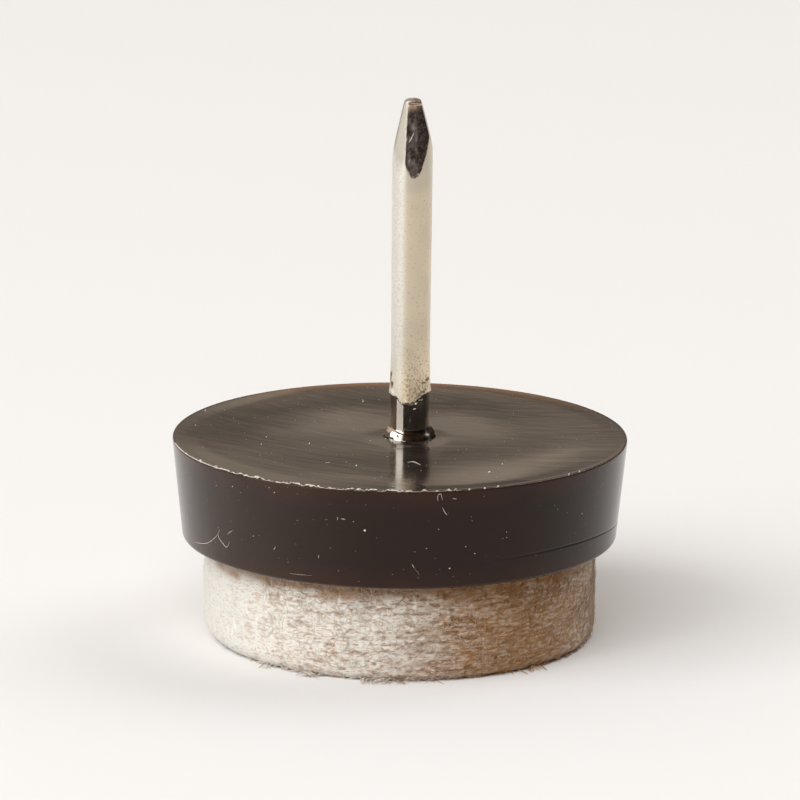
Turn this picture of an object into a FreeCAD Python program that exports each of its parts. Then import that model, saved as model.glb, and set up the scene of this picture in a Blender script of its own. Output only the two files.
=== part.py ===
"""Nail-on felt furniture glide, in millimetres.

A wire nail stands point up out of a moulded plastic disc. Its head is buried
in the disc, and a thick felt pad is glued into a shallow recess under it.
The origin is on the floor under the middle of the felt, +Z is up along the
nail, and the front of the part faces -Y.
"""

import FreeCAD
import Part

import math
import os

# Moulded disc: wider at the top, with a recess underneath for the felt.
BASE_TOP_DIAMETER = 24.0
BASE_HEIGHT = 5.35
BASE_DRAFT_DEG = 6.0
BASE_TOP_ROUND = 0.12
BASE_FOOT_ROUND = 0.25
RECESS_DEPTH = 0.9
RECESS_PLAY = 0.1

# Felt pad and the glue that holds it in the recess.
FELT_DIAMETER = 20.7
FELT_THICKNESS = 6.0
FELT_FOOT_ROUND = 0.6
GLUE_THICKNESS = 0.15

# Wire nail. It stands a little off the middle of the disc.
NAIL_DIAMETER = 2.1
NAIL_STANDOUT = 18.1
NAIL_OFFSET_X = 0.5
NAIL_HEAD_DIAMETER = 4.6
NAIL_HEAD_THICKNESS = 0.9
PLASTIC_UNDER_HEAD = 1.0

# The wire tapers in from its head to a swaged collar, half sunk in the disc.
UNDER_HEAD_DIAMETER = 2.5
COLLAR_FOOT_DIAMETER = 2.7
COLLAR_TOP_DIAMETER = 2.3
COLLAR_HEIGHT = 0.4
COLLAR_SET = 0.25

# Above the collar a bright neck, burnished in the die, ends under a lip of
# pushed-up metal.
NECK_FOOT_DIAMETER = 2.08
NECK_TOP_DIAMETER = 2.05
LIP_LEVEL = 2.35
LIP_DIAMETER = 2.24
LIP_HEIGHT = 0.45

# Cut point: uneven flats that close in on a blunt, domed tip. Each has its
# turn from the front, its distance from the axis at the tip, and its length.
POINT_FLATS = {
    "front": (11.0, 0.33, 4.3),
    "right": (90.0, 0.40, 2.3),
    "back": (180.0, 0.38, 3.35),
    "left": (-95.0, 0.43, 2.95),
    "left_front": (-35.0, 0.44, 3.75),
}
POINT_DOME_RADIUS = 0.5

# Wedge cutters that pinch the point. Each passes right through the wire.
CUTTER_DEPTH = NAIL_DIAMETER
CUTTER_WIDTH = 2 * NAIL_DIAMETER
CUTTER_BELOW_TIP = 6.0
CUTTER_ABOVE_TIP = 3.0

# Levels above the floor, worked out from the sizes above.
RECESS_FLOOR = FELT_THICKNESS + GLUE_THICKNESS
BASE_FOOT = RECESS_FLOOR - RECESS_DEPTH
BASE_TOP = BASE_FOOT + BASE_HEIGHT
HEAD_UNDERSIDE = RECESS_FLOOR + PLASTIC_UNDER_HEAD
HEAD_TOP = HEAD_UNDERSIDE + NAIL_HEAD_THICKNESS
COLLAR_UNDERSIDE = BASE_TOP - COLLAR_SET
COLLAR_TOP = BASE_TOP + COLLAR_HEIGHT
LIP_UNDERSIDE = BASE_TOP + LIP_LEVEL
NAIL_TIP = BASE_TOP + NAIL_STANDOUT

AXIS = FreeCAD.Vector(0, 0, 1)
CENTRE = FreeCAD.Vector(0, 0, 0)
NAIL_PLACE = FreeCAD.Vector(NAIL_OFFSET_X, 0, 0)
LEVEL_MATCH = 1e-6
FULL_TURN_DEG = 360
FRONT_DEG = -90


def point(radius, level):
    """A point of a turned outline, in the plane of X and Z."""
    return FreeCAD.Vector(radius, 0, level)


def turned(edges):
    """The solid that a closed outline sweeps in a full turn about the Z axis."""
    return Part.Face(Part.Wire(edges)).revolve(CENTRE, AXIS, FULL_TURN_DEG)


def straight_edges(corners):
    """Edges from each (radius, level) corner to the next."""
    places = [point(*corner) for corner in corners]
    return [Part.LineSegment(a, b).toShape() for a, b in zip(places, places[1:])]


def rim(solid, radius, level):
    """The circular edges of a solid that have this radius and level."""
    return [
        edge for edge in solid.Edges
        if isinstance(edge.Curve, Part.Circle)
        and abs(edge.Curve.Radius - radius) < LEVEL_MATCH
        and abs(edge.Curve.Center.z - level) < LEVEL_MATCH
    ]


def felt_pad():
    """Round felt plug with a softened lower edge."""
    radius = FELT_DIAMETER / 2
    plug = Part.makeCylinder(radius, FELT_THICKNESS)
    return plug.makeFillet(FELT_FOOT_ROUND, rim(plug, radius, 0))


def adhesive_film():
    """Glue between the felt and the floor of the recess."""
    return Part.makeCylinder(FELT_DIAMETER / 2, GLUE_THICKNESS, point(0, FELT_THICKNESS))


def point_waste():
    """The wedges that the cutters take off the wire to leave the flats of the point."""
    wedges = []
    for turn_deg, tip_distance, length in POINT_FLATS.values():
        slope_deg = math.degrees(math.atan((NAIL_DIAMETER / 2 - tip_distance) / length))
        block = Part.makeBox(
            CUTTER_DEPTH, CUTTER_WIDTH, CUTTER_BELOW_TIP + CUTTER_ABOVE_TIP,
            FreeCAD.Vector(0, -CUTTER_WIDTH / 2, -CUTTER_BELOW_TIP),
        )
        block.rotate(CENTRE, FreeCAD.Vector(0, 1, 0), -slope_deg)
        block.translate(point(tip_distance, NAIL_TIP))
        block.rotate(CENTRE, AXIS, FRONT_DEG + turn_deg)
        wedges.append(block)
    return wedges


def nail():
    """Wire nail: flat head, swaged collar, neck, lip, straight shank and cut point."""
    shank = NAIL_DIAMETER / 2
    dome_foot = NAIL_TIP - POINT_DOME_RADIUS
    dome_reach = POINT_DOME_RADIUS * math.sqrt(0.5)
    outline = straight_edges([
        (0, NAIL_TIP),
        (0, HEAD_UNDERSIDE),
        (NAIL_HEAD_DIAMETER / 2, HEAD_UNDERSIDE),
        (NAIL_HEAD_DIAMETER / 2, HEAD_TOP),
        (UNDER_HEAD_DIAMETER / 2, HEAD_TOP),
        (shank, COLLAR_UNDERSIDE),
        (COLLAR_FOOT_DIAMETER / 2, COLLAR_UNDERSIDE),
        (COLLAR_FOOT_DIAMETER / 2, BASE_TOP),
        (COLLAR_TOP_DIAMETER / 2, COLLAR_TOP),
        (NECK_FOOT_DIAMETER / 2, COLLAR_TOP),
        (NECK_TOP_DIAMETER / 2, LIP_UNDERSIDE),
        (LIP_DIAMETER / 2, LIP_UNDERSIDE),
        (shank, LIP_UNDERSIDE + LIP_HEIGHT),
        (shank, dome_foot - POINT_DOME_RADIUS),
        (POINT_DOME_RADIUS, dome_foot),
    ])
    dome = Part.Arc(
        point(POINT_DOME_RADIUS, dome_foot),
        point(dome_reach, dome_foot + dome_reach),
        point(0, NAIL_TIP),
    ).toShape()
    wire = turned(outline + [dome]).cut(point_waste())
    return wire.Solids[0].translated(NAIL_PLACE)


def plastic_base(insert):
    """Moulded disc, closed round the head and collar of the nail set in the mould."""
    top = BASE_TOP_DIAMETER / 2
    foot = top - BASE_HEIGHT * math.tan(math.radians(BASE_DRAFT_DEG))
    recess = FELT_DIAMETER / 2 + RECESS_PLAY
    disc = turned(straight_edges([
        (0, RECESS_FLOOR),
        (recess, RECESS_FLOOR),
        (recess, BASE_FOOT),
        (foot, BASE_FOOT),
        (top, BASE_TOP),
        (0, BASE_TOP),
        (0, RECESS_FLOOR),
    ]))
    disc = disc.makeFillet(BASE_TOP_ROUND, rim(disc, top, BASE_TOP))
    disc = disc.makeFillet(BASE_FOOT_ROUND, rim(disc, foot, BASE_FOOT))
    return disc.cut(insert).Solids[0]


def main():
    """Builds each piece in place and writes it to parts/."""
    wire_nail = nail()
    pieces = {
        "felt_pad": felt_pad(),
        "adhesive_film": adhesive_film(),
        "nail": wire_nail,
        "plastic_base": plastic_base(wire_nail),
    }
    os.makedirs("parts", exist_ok=True)
    for name, shape in pieces.items():
        shape.exportStep(f"parts/{name}.step")
        print(name, shape.isValid(), len(shape.Solids), round(shape.Volume, 2), shape.BoundBox)


main()
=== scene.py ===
"""Nail-on felt furniture glide, dressed for a studio picture.

A plated wire nail stands point up out of a dark moulded disc, and a thick felt
pad is glued under the disc. Sizes and places are in millimetres until a mesh
is made. Azimuths are in degrees from the front of the part (-Y), positive to
the right (+X) and then round the back.
"""

import logging
import math
from dataclasses import dataclass, field
from enum import Enum

import bpy
import numpy as np
from mathutils import Matrix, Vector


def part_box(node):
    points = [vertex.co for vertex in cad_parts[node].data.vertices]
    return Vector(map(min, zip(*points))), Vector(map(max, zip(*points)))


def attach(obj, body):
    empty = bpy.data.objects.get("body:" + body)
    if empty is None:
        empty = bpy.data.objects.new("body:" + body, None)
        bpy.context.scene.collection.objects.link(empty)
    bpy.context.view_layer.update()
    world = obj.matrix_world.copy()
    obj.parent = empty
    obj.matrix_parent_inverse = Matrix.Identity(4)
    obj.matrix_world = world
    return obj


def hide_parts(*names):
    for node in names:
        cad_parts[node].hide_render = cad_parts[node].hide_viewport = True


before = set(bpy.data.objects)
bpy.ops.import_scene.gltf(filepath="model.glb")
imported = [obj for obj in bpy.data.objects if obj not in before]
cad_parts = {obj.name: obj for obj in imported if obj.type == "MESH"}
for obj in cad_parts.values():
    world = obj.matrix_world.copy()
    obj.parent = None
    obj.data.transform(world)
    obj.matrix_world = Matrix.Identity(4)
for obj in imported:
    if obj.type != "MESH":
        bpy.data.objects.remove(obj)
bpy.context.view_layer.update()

BODY = "root"
MM = 0.001
FULL_TURN = 2 * math.pi
HALF_TURN_DEG = 180.0
TINY = 1e-12

# Where a tube's pointed ends stop short, in radians of the half turn that its length stands for.
TUBE_BLUNT = 0.15

# Sockets of Blender's Mix node, whose versions for colours and for values share their names.
MIX_SHARE = 0
MIX_A = 6
MIX_B = 7
MIX_RESULT = 2
MIX_VALUE_A = 2
MIX_VALUE_B = 3

LOG = logging.getLogger("glide")

Array = np.ndarray
Values = Array | float
Span = tuple[float, float]
Pixel = tuple[float, float]
Faces = list[Array]
Skin = tuple[Array, Faces]


class Slot(Enum):
    """The record's material slots, one passed with each piece."""

    STEEL = "plated_steel"
    PLASTIC = "brown_plastic"
    FELT = "felt"


def linear(colour: str) -> tuple[float, float, float, float]:
    """Turns an sRGB hex colour into the linear one that Blender's sockets take.

    Args:
        colour: Six hex digits after a hash sign.

    Returns:
        Red, green, blue and an alpha of 1.
    """
    parts = [int(colour[at:at + 2], 16) / 255 for at in (1, 3, 5)]
    red, green, blue = (
        part / 12.92 if part <= 0.04045 else ((part + 0.055) / 1.055) ** 2.4 for part in parts
    )
    return red, green, blue, 1.0


def per_size(size_mm: float) -> float:
    """Scale of a pattern whose features are about this many millimetres."""
    return 1 / (size_mm * MM)


def blank_material(name: str) -> bpy.types.Material:
    """Makes a material with an empty node tree.

    Args:
        name: What the material is and how its surface was made.

    Returns:
        The material, ready for add_node.
    """
    material = bpy.data.materials.new(name)
    material.use_nodes = True
    material.node_tree.nodes.clear()
    return material


def add_node(tree: bpy.types.NodeTree, kind: str, inputs: dict | None = None, **settings) -> bpy.types.Node:
    """Adds one shader node with its settings and links.

    Args:
        tree: The node tree that takes it.
        kind: The node's type, without Blender's ShaderNode prefix.
        inputs: A constant or an output socket for each input, by its name or number.
        settings: The node's own properties.

    Returns:
        The new node.
    """
    node = tree.nodes.new("ShaderNode" + kind)
    for name, value in settings.items():
        setattr(node, name, value)
    for key, value in (inputs or {}).items():
        if isinstance(value, bpy.types.NodeSocket):
            tree.links.new(value, node.inputs[key])
        else:
            node.inputs[key].default_value = value
    return node


def smooth(low: Values, high: Values, value: Values) -> Values:
    """Eases from 0 at low to 1 at high, which may be the smaller of the two."""
    share = np.clip((value - low) / (high - low), 0, 1)
    return share * share * (3 - 2 * share)


def bump_at(value: Values, centre: float, width: float) -> Values:
    """A rounded rise that is 1 at the centre and almost gone two widths away."""
    return np.exp(-(((value - centre) / width) ** 2))


def turn_from(azimuth: Values, centre: Values) -> Values:
    """Degrees from a centre azimuth, the short way round."""
    return (azimuth - centre + HALF_TURN_DEG) % (2 * HALF_TURN_DEG) - HALF_TURN_DEG


def read_off(table: dict[float, float], place: Values) -> Values:
    """Reads a table of places and values, in between its entries too."""
    return np.interp(place, list(table), list(table.values()))


def around(radius: Values, azimuth: Values, level: Values, centre_x: Values = 0.0) -> Array:
    """Points round an upright axis.

    Args:
        radius: Distance from the axis.
        azimuth: Degrees from the front, positive to the right.
        level: Height above the floor.
        centre_x: Where the axis stands, along X.

    Returns:
        The points, with X, Y and Z along the last axis.
    """
    turn = np.radians(azimuth)
    return np.stack(np.broadcast_arrays(
        centre_x + radius * np.sin(turn), -radius * np.cos(turn), level,
    ), axis=-1)


@dataclass(frozen=True)
class Noise:
    """Smooth random values that join up all the way round.

    One turn has this many cells, with a random value for each. The rows lie this far apart, and
    the seed picks the values.
    """

    cells: int
    cell_height: float
    seed: int

    def at(self, azimuth: Array, level: Array) -> Array:
        """Reads the values.

        Args:
            azimuth: Degrees from the front.
            level: Heights, of the same shape.

        Returns:
            Values from -1 to 1, of the same shape.
        """
        across = azimuth / (2 * HALF_TURN_DEG) * self.cells
        upward = (level - np.min(level)) / self.cell_height
        column = np.floor(across).astype(int)
        row = np.floor(upward).astype(int)
        drawn = np.random.default_rng(self.seed)
        values = drawn.uniform(-1, 1, (int(row.max()) + 2, self.cells))
        shifts = drawn.integers(0, self.cells, row.max() + 2)
        share_across = smooth(0, 1, across - column)
        share_upward = smooth(0, 1, upward - row)

        def along(at_row: Array) -> Array:
            """The values of one row, eased between its columns."""
            left = values[at_row, (column + shifts[at_row]) % self.cells]
            right = values[at_row, (column + shifts[at_row] + 1) % self.cells]
            return left + (right - left) * share_across

        lower = along(row)
        return lower + (along(row + 1) - lower) * share_upward


def turned_skin(rings: Array) -> Skin:
    """Closed skin through a stack of rings, with a fan in the first and the last.

    Args:
        rings: Points by ring, column and axis. The stack runs so that outside is on
            the left of its way as seen with the axis upright.

    Returns:
        The points and the faces.
    """
    rows, columns, _ = rings.shape
    points = np.concatenate([
        rings.reshape(-1, 3),
        rings[0].mean(axis=0, keepdims=True),
        rings[-1].mean(axis=0, keepdims=True),
    ])
    index = np.arange(rows * columns).reshape(rows, columns)
    after = np.roll(index, -1, axis=1)
    walls = np.stack([index[:-1], after[:-1], after[1:], index[1:]], axis=-1).reshape(-1, 4)
    first = np.full(columns, rows * columns)
    fans = [
        np.stack([first, after[0], index[0]], axis=-1),
        np.stack([first + 1, index[-1], after[-1]], axis=-1),
    ]
    return points, [walls, *fans]


def tube_skin(paths: Array, radii: Array, facing: Array, sides: int = 3) -> Skin:
    """Closed thin tubes along a set of paths, pointed at both ends.

    Args:
        paths: Points by path, place along it and axis.
        radii: Half thickness of each path.
        facing: A direction for each path that is never along it.
        sides: Corners of a tube's section.

    Returns:
        The points and the faces.
    """
    count, places, _ = paths.shape
    along = np.gradient(paths, axis=1)
    along /= np.linalg.norm(along, axis=2, keepdims=True) + TINY
    beside = np.cross(along, facing[:, None, :])
    beside /= np.linalg.norm(beside, axis=2, keepdims=True) + TINY
    above = np.cross(beside, along)
    half_turn = np.linspace(TUBE_BLUNT, math.pi - TUBE_BLUNT, places)
    thickness = radii[:, None] * np.sqrt(np.clip(np.sin(half_turn), 0, 1))
    corner = np.arange(sides) * FULL_TURN / sides
    rings = paths[:, :, None, :] + thickness[:, :, None, None] * (
        np.cos(corner)[None, None, :, None] * beside[:, :, None, :]
        + np.sin(corner)[None, None, :, None] * above[:, :, None, :]
    )
    index = np.arange(count * places * sides).reshape(count, places, sides)
    after = np.roll(index, -1, axis=2)
    walls = np.stack(
        [index[:, :-1], index[:, 1:], after[:, 1:], after[:, :-1]], axis=-1,
    ).reshape(-1, 4)
    starts = index[:, 0]
    ends = index[:, -1, ::-1]
    return rings.reshape(-1, 3), [walls, starts, ends]


def make_piece(
    name: str, skin: Skin, finish: bpy.types.Material, slot: Slot,
    marks: dict[str, Array] | None = None, replaces: tuple[str, ...] = (),
) -> bpy.types.Object:
    """Makes a mesh piece that rides on the glide's one body.

    Args:
        name: The piece's name.
        skin: Points in millimetres, and faces.
        finish: Its material.
        slot: The record's slot for the piece; not used.
        marks: Values at its points that its material reads.
        replaces: CAD nodes that it stands for.

    Returns:
        The piece.
    """
    points, faces = skin
    corners = np.concatenate([group.ravel() for group in faces])
    sizes = np.concatenate([np.full(len(group), group.shape[1]) for group in faces])
    starts = np.concatenate([[0], np.cumsum(sizes)[:-1]])
    mesh = bpy.data.meshes.new(name)
    mesh.vertices.add(len(points))
    mesh.vertices.foreach_set("co", (points * MM).astype(np.float32).ravel())
    mesh.loops.add(len(corners))
    mesh.loops.foreach_set("vertex_index", corners.astype(np.int32))
    mesh.polygons.add(len(sizes))
    mesh.polygons.foreach_set("loop_start", starts.astype(np.int32))
    mesh.update(calc_edges=True)
    mesh.validate()
    mesh.shade_smooth()
    for mark, values in (marks or {}).items():
        spare = np.zeros(len(points), np.float32)
        spare[:values.size] = values.ravel()
        mesh.attributes.new(mark, "FLOAT", "POINT").data.foreach_set("value", spare)
    mesh.materials.append(finish)
    piece = bpy.data.objects.new(name, mesh)
    bpy.context.scene.collection.objects.link(piece)
    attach(piece, BODY)
    if replaces:
        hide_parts(*replaces)
    LOG.info("%s: %d faces", name, len(sizes))
    return piece


@dataclass(frozen=True)
class PhotoCamera:
    """The photograph's camera, fitted to the outlines of the disc and the nail."""

    disc_top: float
    distance: float = 450.0
    elevation_deg: float = 13.915
    roll_deg: float = 0.483
    aim_above: float = 1.885
    focal_px: float = 8547.0
    image_px: int = 800
    sensor: float = 36.0
    # Nearest and farthest that it sees, in metres.
    sight: Span = (0.01, 100.0)
    # Rounds that settle the level at which a sight line meets the drafted wall.
    wall_rounds: int = 8

    def place(self) -> Array:
        """Where the camera stands."""
        rise = math.radians(self.elevation_deg)
        return np.array([0, -self.distance * math.cos(rise), self.disc_top + self.distance * math.sin(rise)])

    def axes(self) -> tuple[Array, Array, Array]:
        """The picture's right, the picture's up and the sight line.

        Returns:
            Three unit directions.
        """
        rise = math.radians(self.elevation_deg)
        roll = math.radians(self.roll_deg)
        level_right = np.array([1.0, 0.0, 0.0])
        level_up = np.array([0.0, math.sin(rise), math.cos(rise)])
        up = level_up * math.cos(roll) - level_right * math.sin(roll)
        aim = np.array([0, 0, self.disc_top]) + up * self.aim_above
        forward = aim - self.place()
        forward /= np.linalg.norm(forward)
        right = np.cross(forward, up)
        right /= np.linalg.norm(right)
        return right, np.cross(right, forward), forward

    def ray(self, pixel: Pixel) -> Array:
        """Direction of the sight line through the middle of a pixel.

        Args:
            pixel: Column and row in the photograph.

        Returns:
            A direction from the camera.
        """
        right, up, forward = self.axes()
        middle = self.image_px / 2 - 0.5
        across = (pixel[0] - middle) / self.focal_px
        down = (pixel[1] - middle) / self.focal_px
        return forward + across * right - down * up

    def on_level(self, pixel: Pixel, level: float) -> Array:
        """The point at this height that a pixel shows.

        Args:
            pixel: Column and row in the photograph.
            level: Height above the floor.

        Returns:
            The point.
        """
        start = self.place()
        direction = self.ray(pixel)
        return start + direction * (level - start[2]) / direction[2]

    def on_wall(self, pixel: Pixel, disc: "MouldedDisc") -> Array:
        """The point of the disc's wall that a pixel shows.

        Args:
            pixel: Column and row in the photograph.
            disc: The disc, for the width of its wall.

        Returns:
            Azimuth and level.
        """
        start = self.place()
        direction = self.ray(pixel)
        level = self.disc_top
        for _ in range(self.wall_rounds):
            radius = disc.wall_radius(level)
            run = direction[:2] @ direction[:2]
            lean = start[:2] @ direction[:2]
            gap = start[:2] @ start[:2] - radius ** 2
            reach = (-lean - math.sqrt(max(lean * lean - run * gap, 0))) / run
            point = start + direction * reach
            level = point[2]
        return np.array([math.degrees(math.atan2(point[0], -point[1])), level])

    def build(self) -> None:
        """Makes the camera and gives it to the scene."""
        right, up, forward = self.axes()
        data = bpy.data.cameras.new("photo_camera")
        data.sensor_width = self.sensor
        data.lens = self.focal_px / self.image_px * self.sensor
        data.clip_start, data.clip_end = self.sight
        camera = bpy.data.objects.new("photo_camera", data)
        turn = Matrix((right, up, -forward)).transposed().to_4x4()
        camera.matrix_world = Matrix.Translation(self.place() * MM) @ turn
        bpy.context.scene.collection.objects.link(camera)
        bpy.context.scene.camera = camera
        LOG.info("camera: lens %.1f mm", data.lens)


@dataclass(frozen=True)
class Softbox:
    """A studio lamp behind a diffuser, with its place and half sizes in degrees."""

    name: str
    azimuth: float
    elevation: float
    half_width: float
    half_height: float
    radiance: float
    colour: str = "#FFFDFB"
    distance: float = 1500.0
    watts_per_area: float = 4.0

    def build(self) -> None:
        """Hangs the lamp so that it faces the part."""
        halves = (self.half_width, self.half_height)
        width, height = (2 * self.distance * math.tan(math.radians(half)) * MM for half in halves)
        data = bpy.data.lights.new(self.name, "AREA")
        data.shape = "RECTANGLE"
        data.size = width
        data.size_y = height
        data.energy = self.watts_per_area * width * height * self.radiance
        data.color = linear(self.colour)[:3]
        lamp = bpy.data.objects.new(self.name, data)
        rise = math.radians(self.elevation)
        place = around(self.distance * math.cos(rise), self.azimuth, self.distance * math.sin(rise)) * MM
        back = place / np.linalg.norm(place)
        side = np.cross([0, 0, 1], back)
        side /= np.linalg.norm(side)
        turn = Matrix((side, np.cross(back, side), back)).transposed().to_4x4()
        lamp.matrix_world = Matrix.Translation(place) @ turn
        bpy.context.scene.collection.objects.link(lamp)
        LOG.info("lamp %s: %.1f W", self.name, data.energy)


@dataclass(frozen=True)
class Studio:
    """A pale paper sweep, three softboxes and a room that is dark on the camera's side."""

    floor_size: float = 6000.0
    paper: str = "#EEEEEE"
    # Drawn coarser than real paper grain, which is too fine to show.
    paper_grain: float = 0.6
    room_dark: str = "#403D3B"
    room_low: str = "#F2DDC6"
    room_high: str = "#DAD7D2"
    # The room is bright at the back, more so on the left, and only above a low horizon.
    room_lean: float = -0.35
    lamps: tuple[Softbox, ...] = (
        Softbox("key_softbox", -62.0, 31.0, 21.8, 23.6, 2.6),
        Softbox("fill_softbox", -15.0, 46.0, 20.0, 20.0, 2.6),
        Softbox("rear_softbox", 115.0, 49.0, 18.0, 18.0, 1.6),
    )

    def paper_material(self) -> bpy.types.Material:
        """Matt white paper: even, with a grain too fine to be more than a softening.

        Returns:
            The floor's material.
        """
        material = blank_material("matt_white_paper")
        tree = material.node_tree
        place = add_node(tree, "TexCoord").outputs["Object"]
        grain = add_node(tree, "TexNoise", {"Vector": place, "Scale": per_size(self.paper_grain)})
        rough = add_node(tree, "MapRange", {"Value": grain.outputs[0], "To Min": 0.9, "To Max": 1.0})
        skin = add_node(tree, "BsdfPrincipled", {
            "Base Color": linear(self.paper), "Roughness": rough.outputs[0], "Specular IOR Level": 0.1,
        })
        add_node(tree, "OutputMaterial", {"Surface": skin.outputs[0]})
        return material

    def build_floor(self) -> None:
        """Lays the floor under the part."""
        half = self.floor_size / 2 * MM
        corners = [(-half, -half, 0), (half, -half, 0), (half, half, 0), (-half, half, 0)]
        mesh = bpy.data.meshes.new("paper_floor")
        mesh.from_pydata(corners, [], [(0, 1, 2, 3)])
        mesh.materials.append(self.paper_material())
        floor = bpy.data.objects.new("paper_floor", mesh)
        bpy.context.scene.collection.objects.link(floor)

    def build_room(self) -> None:
        """Gives the room its light: dark behind the camera, brighter and higher at the back."""
        world = bpy.data.worlds.new("studio_room")
        world.use_nodes = True
        tree = world.node_tree
        tree.nodes.clear()
        place = add_node(tree, "TexCoord").outputs["Generated"]
        axis = add_node(tree, "SeparateXYZ", {"Vector": place})
        lean = add_node(tree, "Math", {
            0: axis.outputs["X"], 1: self.room_lean, 2: axis.outputs["Y"],
        }, operation="MULTIPLY_ADD")
        behind = add_node(tree, "MapRange", {
            "Value": lean.outputs[0], "From Min": -0.3, "From Max": 0.75,
        }, interpolation_type="SMOOTHSTEP")
        height = add_node(tree, "MapRange", {
            "Value": axis.outputs["Z"], "From Min": 0.18, "From Max": 0.335,
            "To Min": 0.15, "To Max": 1.0,
        }, interpolation_type="SMOOTHSTEP")
        upper = add_node(tree, "MapRange", {"Value": axis.outputs["Z"], "From Min": 0.35, "From Max": 0.7})
        share = add_node(tree, "Math", {0: behind.outputs[0], 1: height.outputs[0]}, operation="MULTIPLY")
        light = add_node(tree, "Mix", {
            MIX_SHARE: upper.outputs[0], MIX_A: linear(self.room_low), MIX_B: linear(self.room_high),
        }, data_type="RGBA").outputs[MIX_RESULT]
        tint = add_node(tree, "Mix", {
            MIX_SHARE: share.outputs[0], MIX_A: linear(self.room_dark), MIX_B: light,
        }, data_type="RGBA").outputs[MIX_RESULT]
        glow = add_node(tree, "Background", {"Color": tint, "Strength": 1.0})
        add_node(tree, "OutputWorld", {"Surface": glow.outputs[0]})
        bpy.context.scene.world = world

    def build(self) -> None:
        """Builds the floor, the room and the lamps."""
        self.build_floor()
        self.build_room()
        for lamp in self.lamps:
            lamp.build()
        bpy.context.scene.view_settings.view_transform = "Standard"


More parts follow.
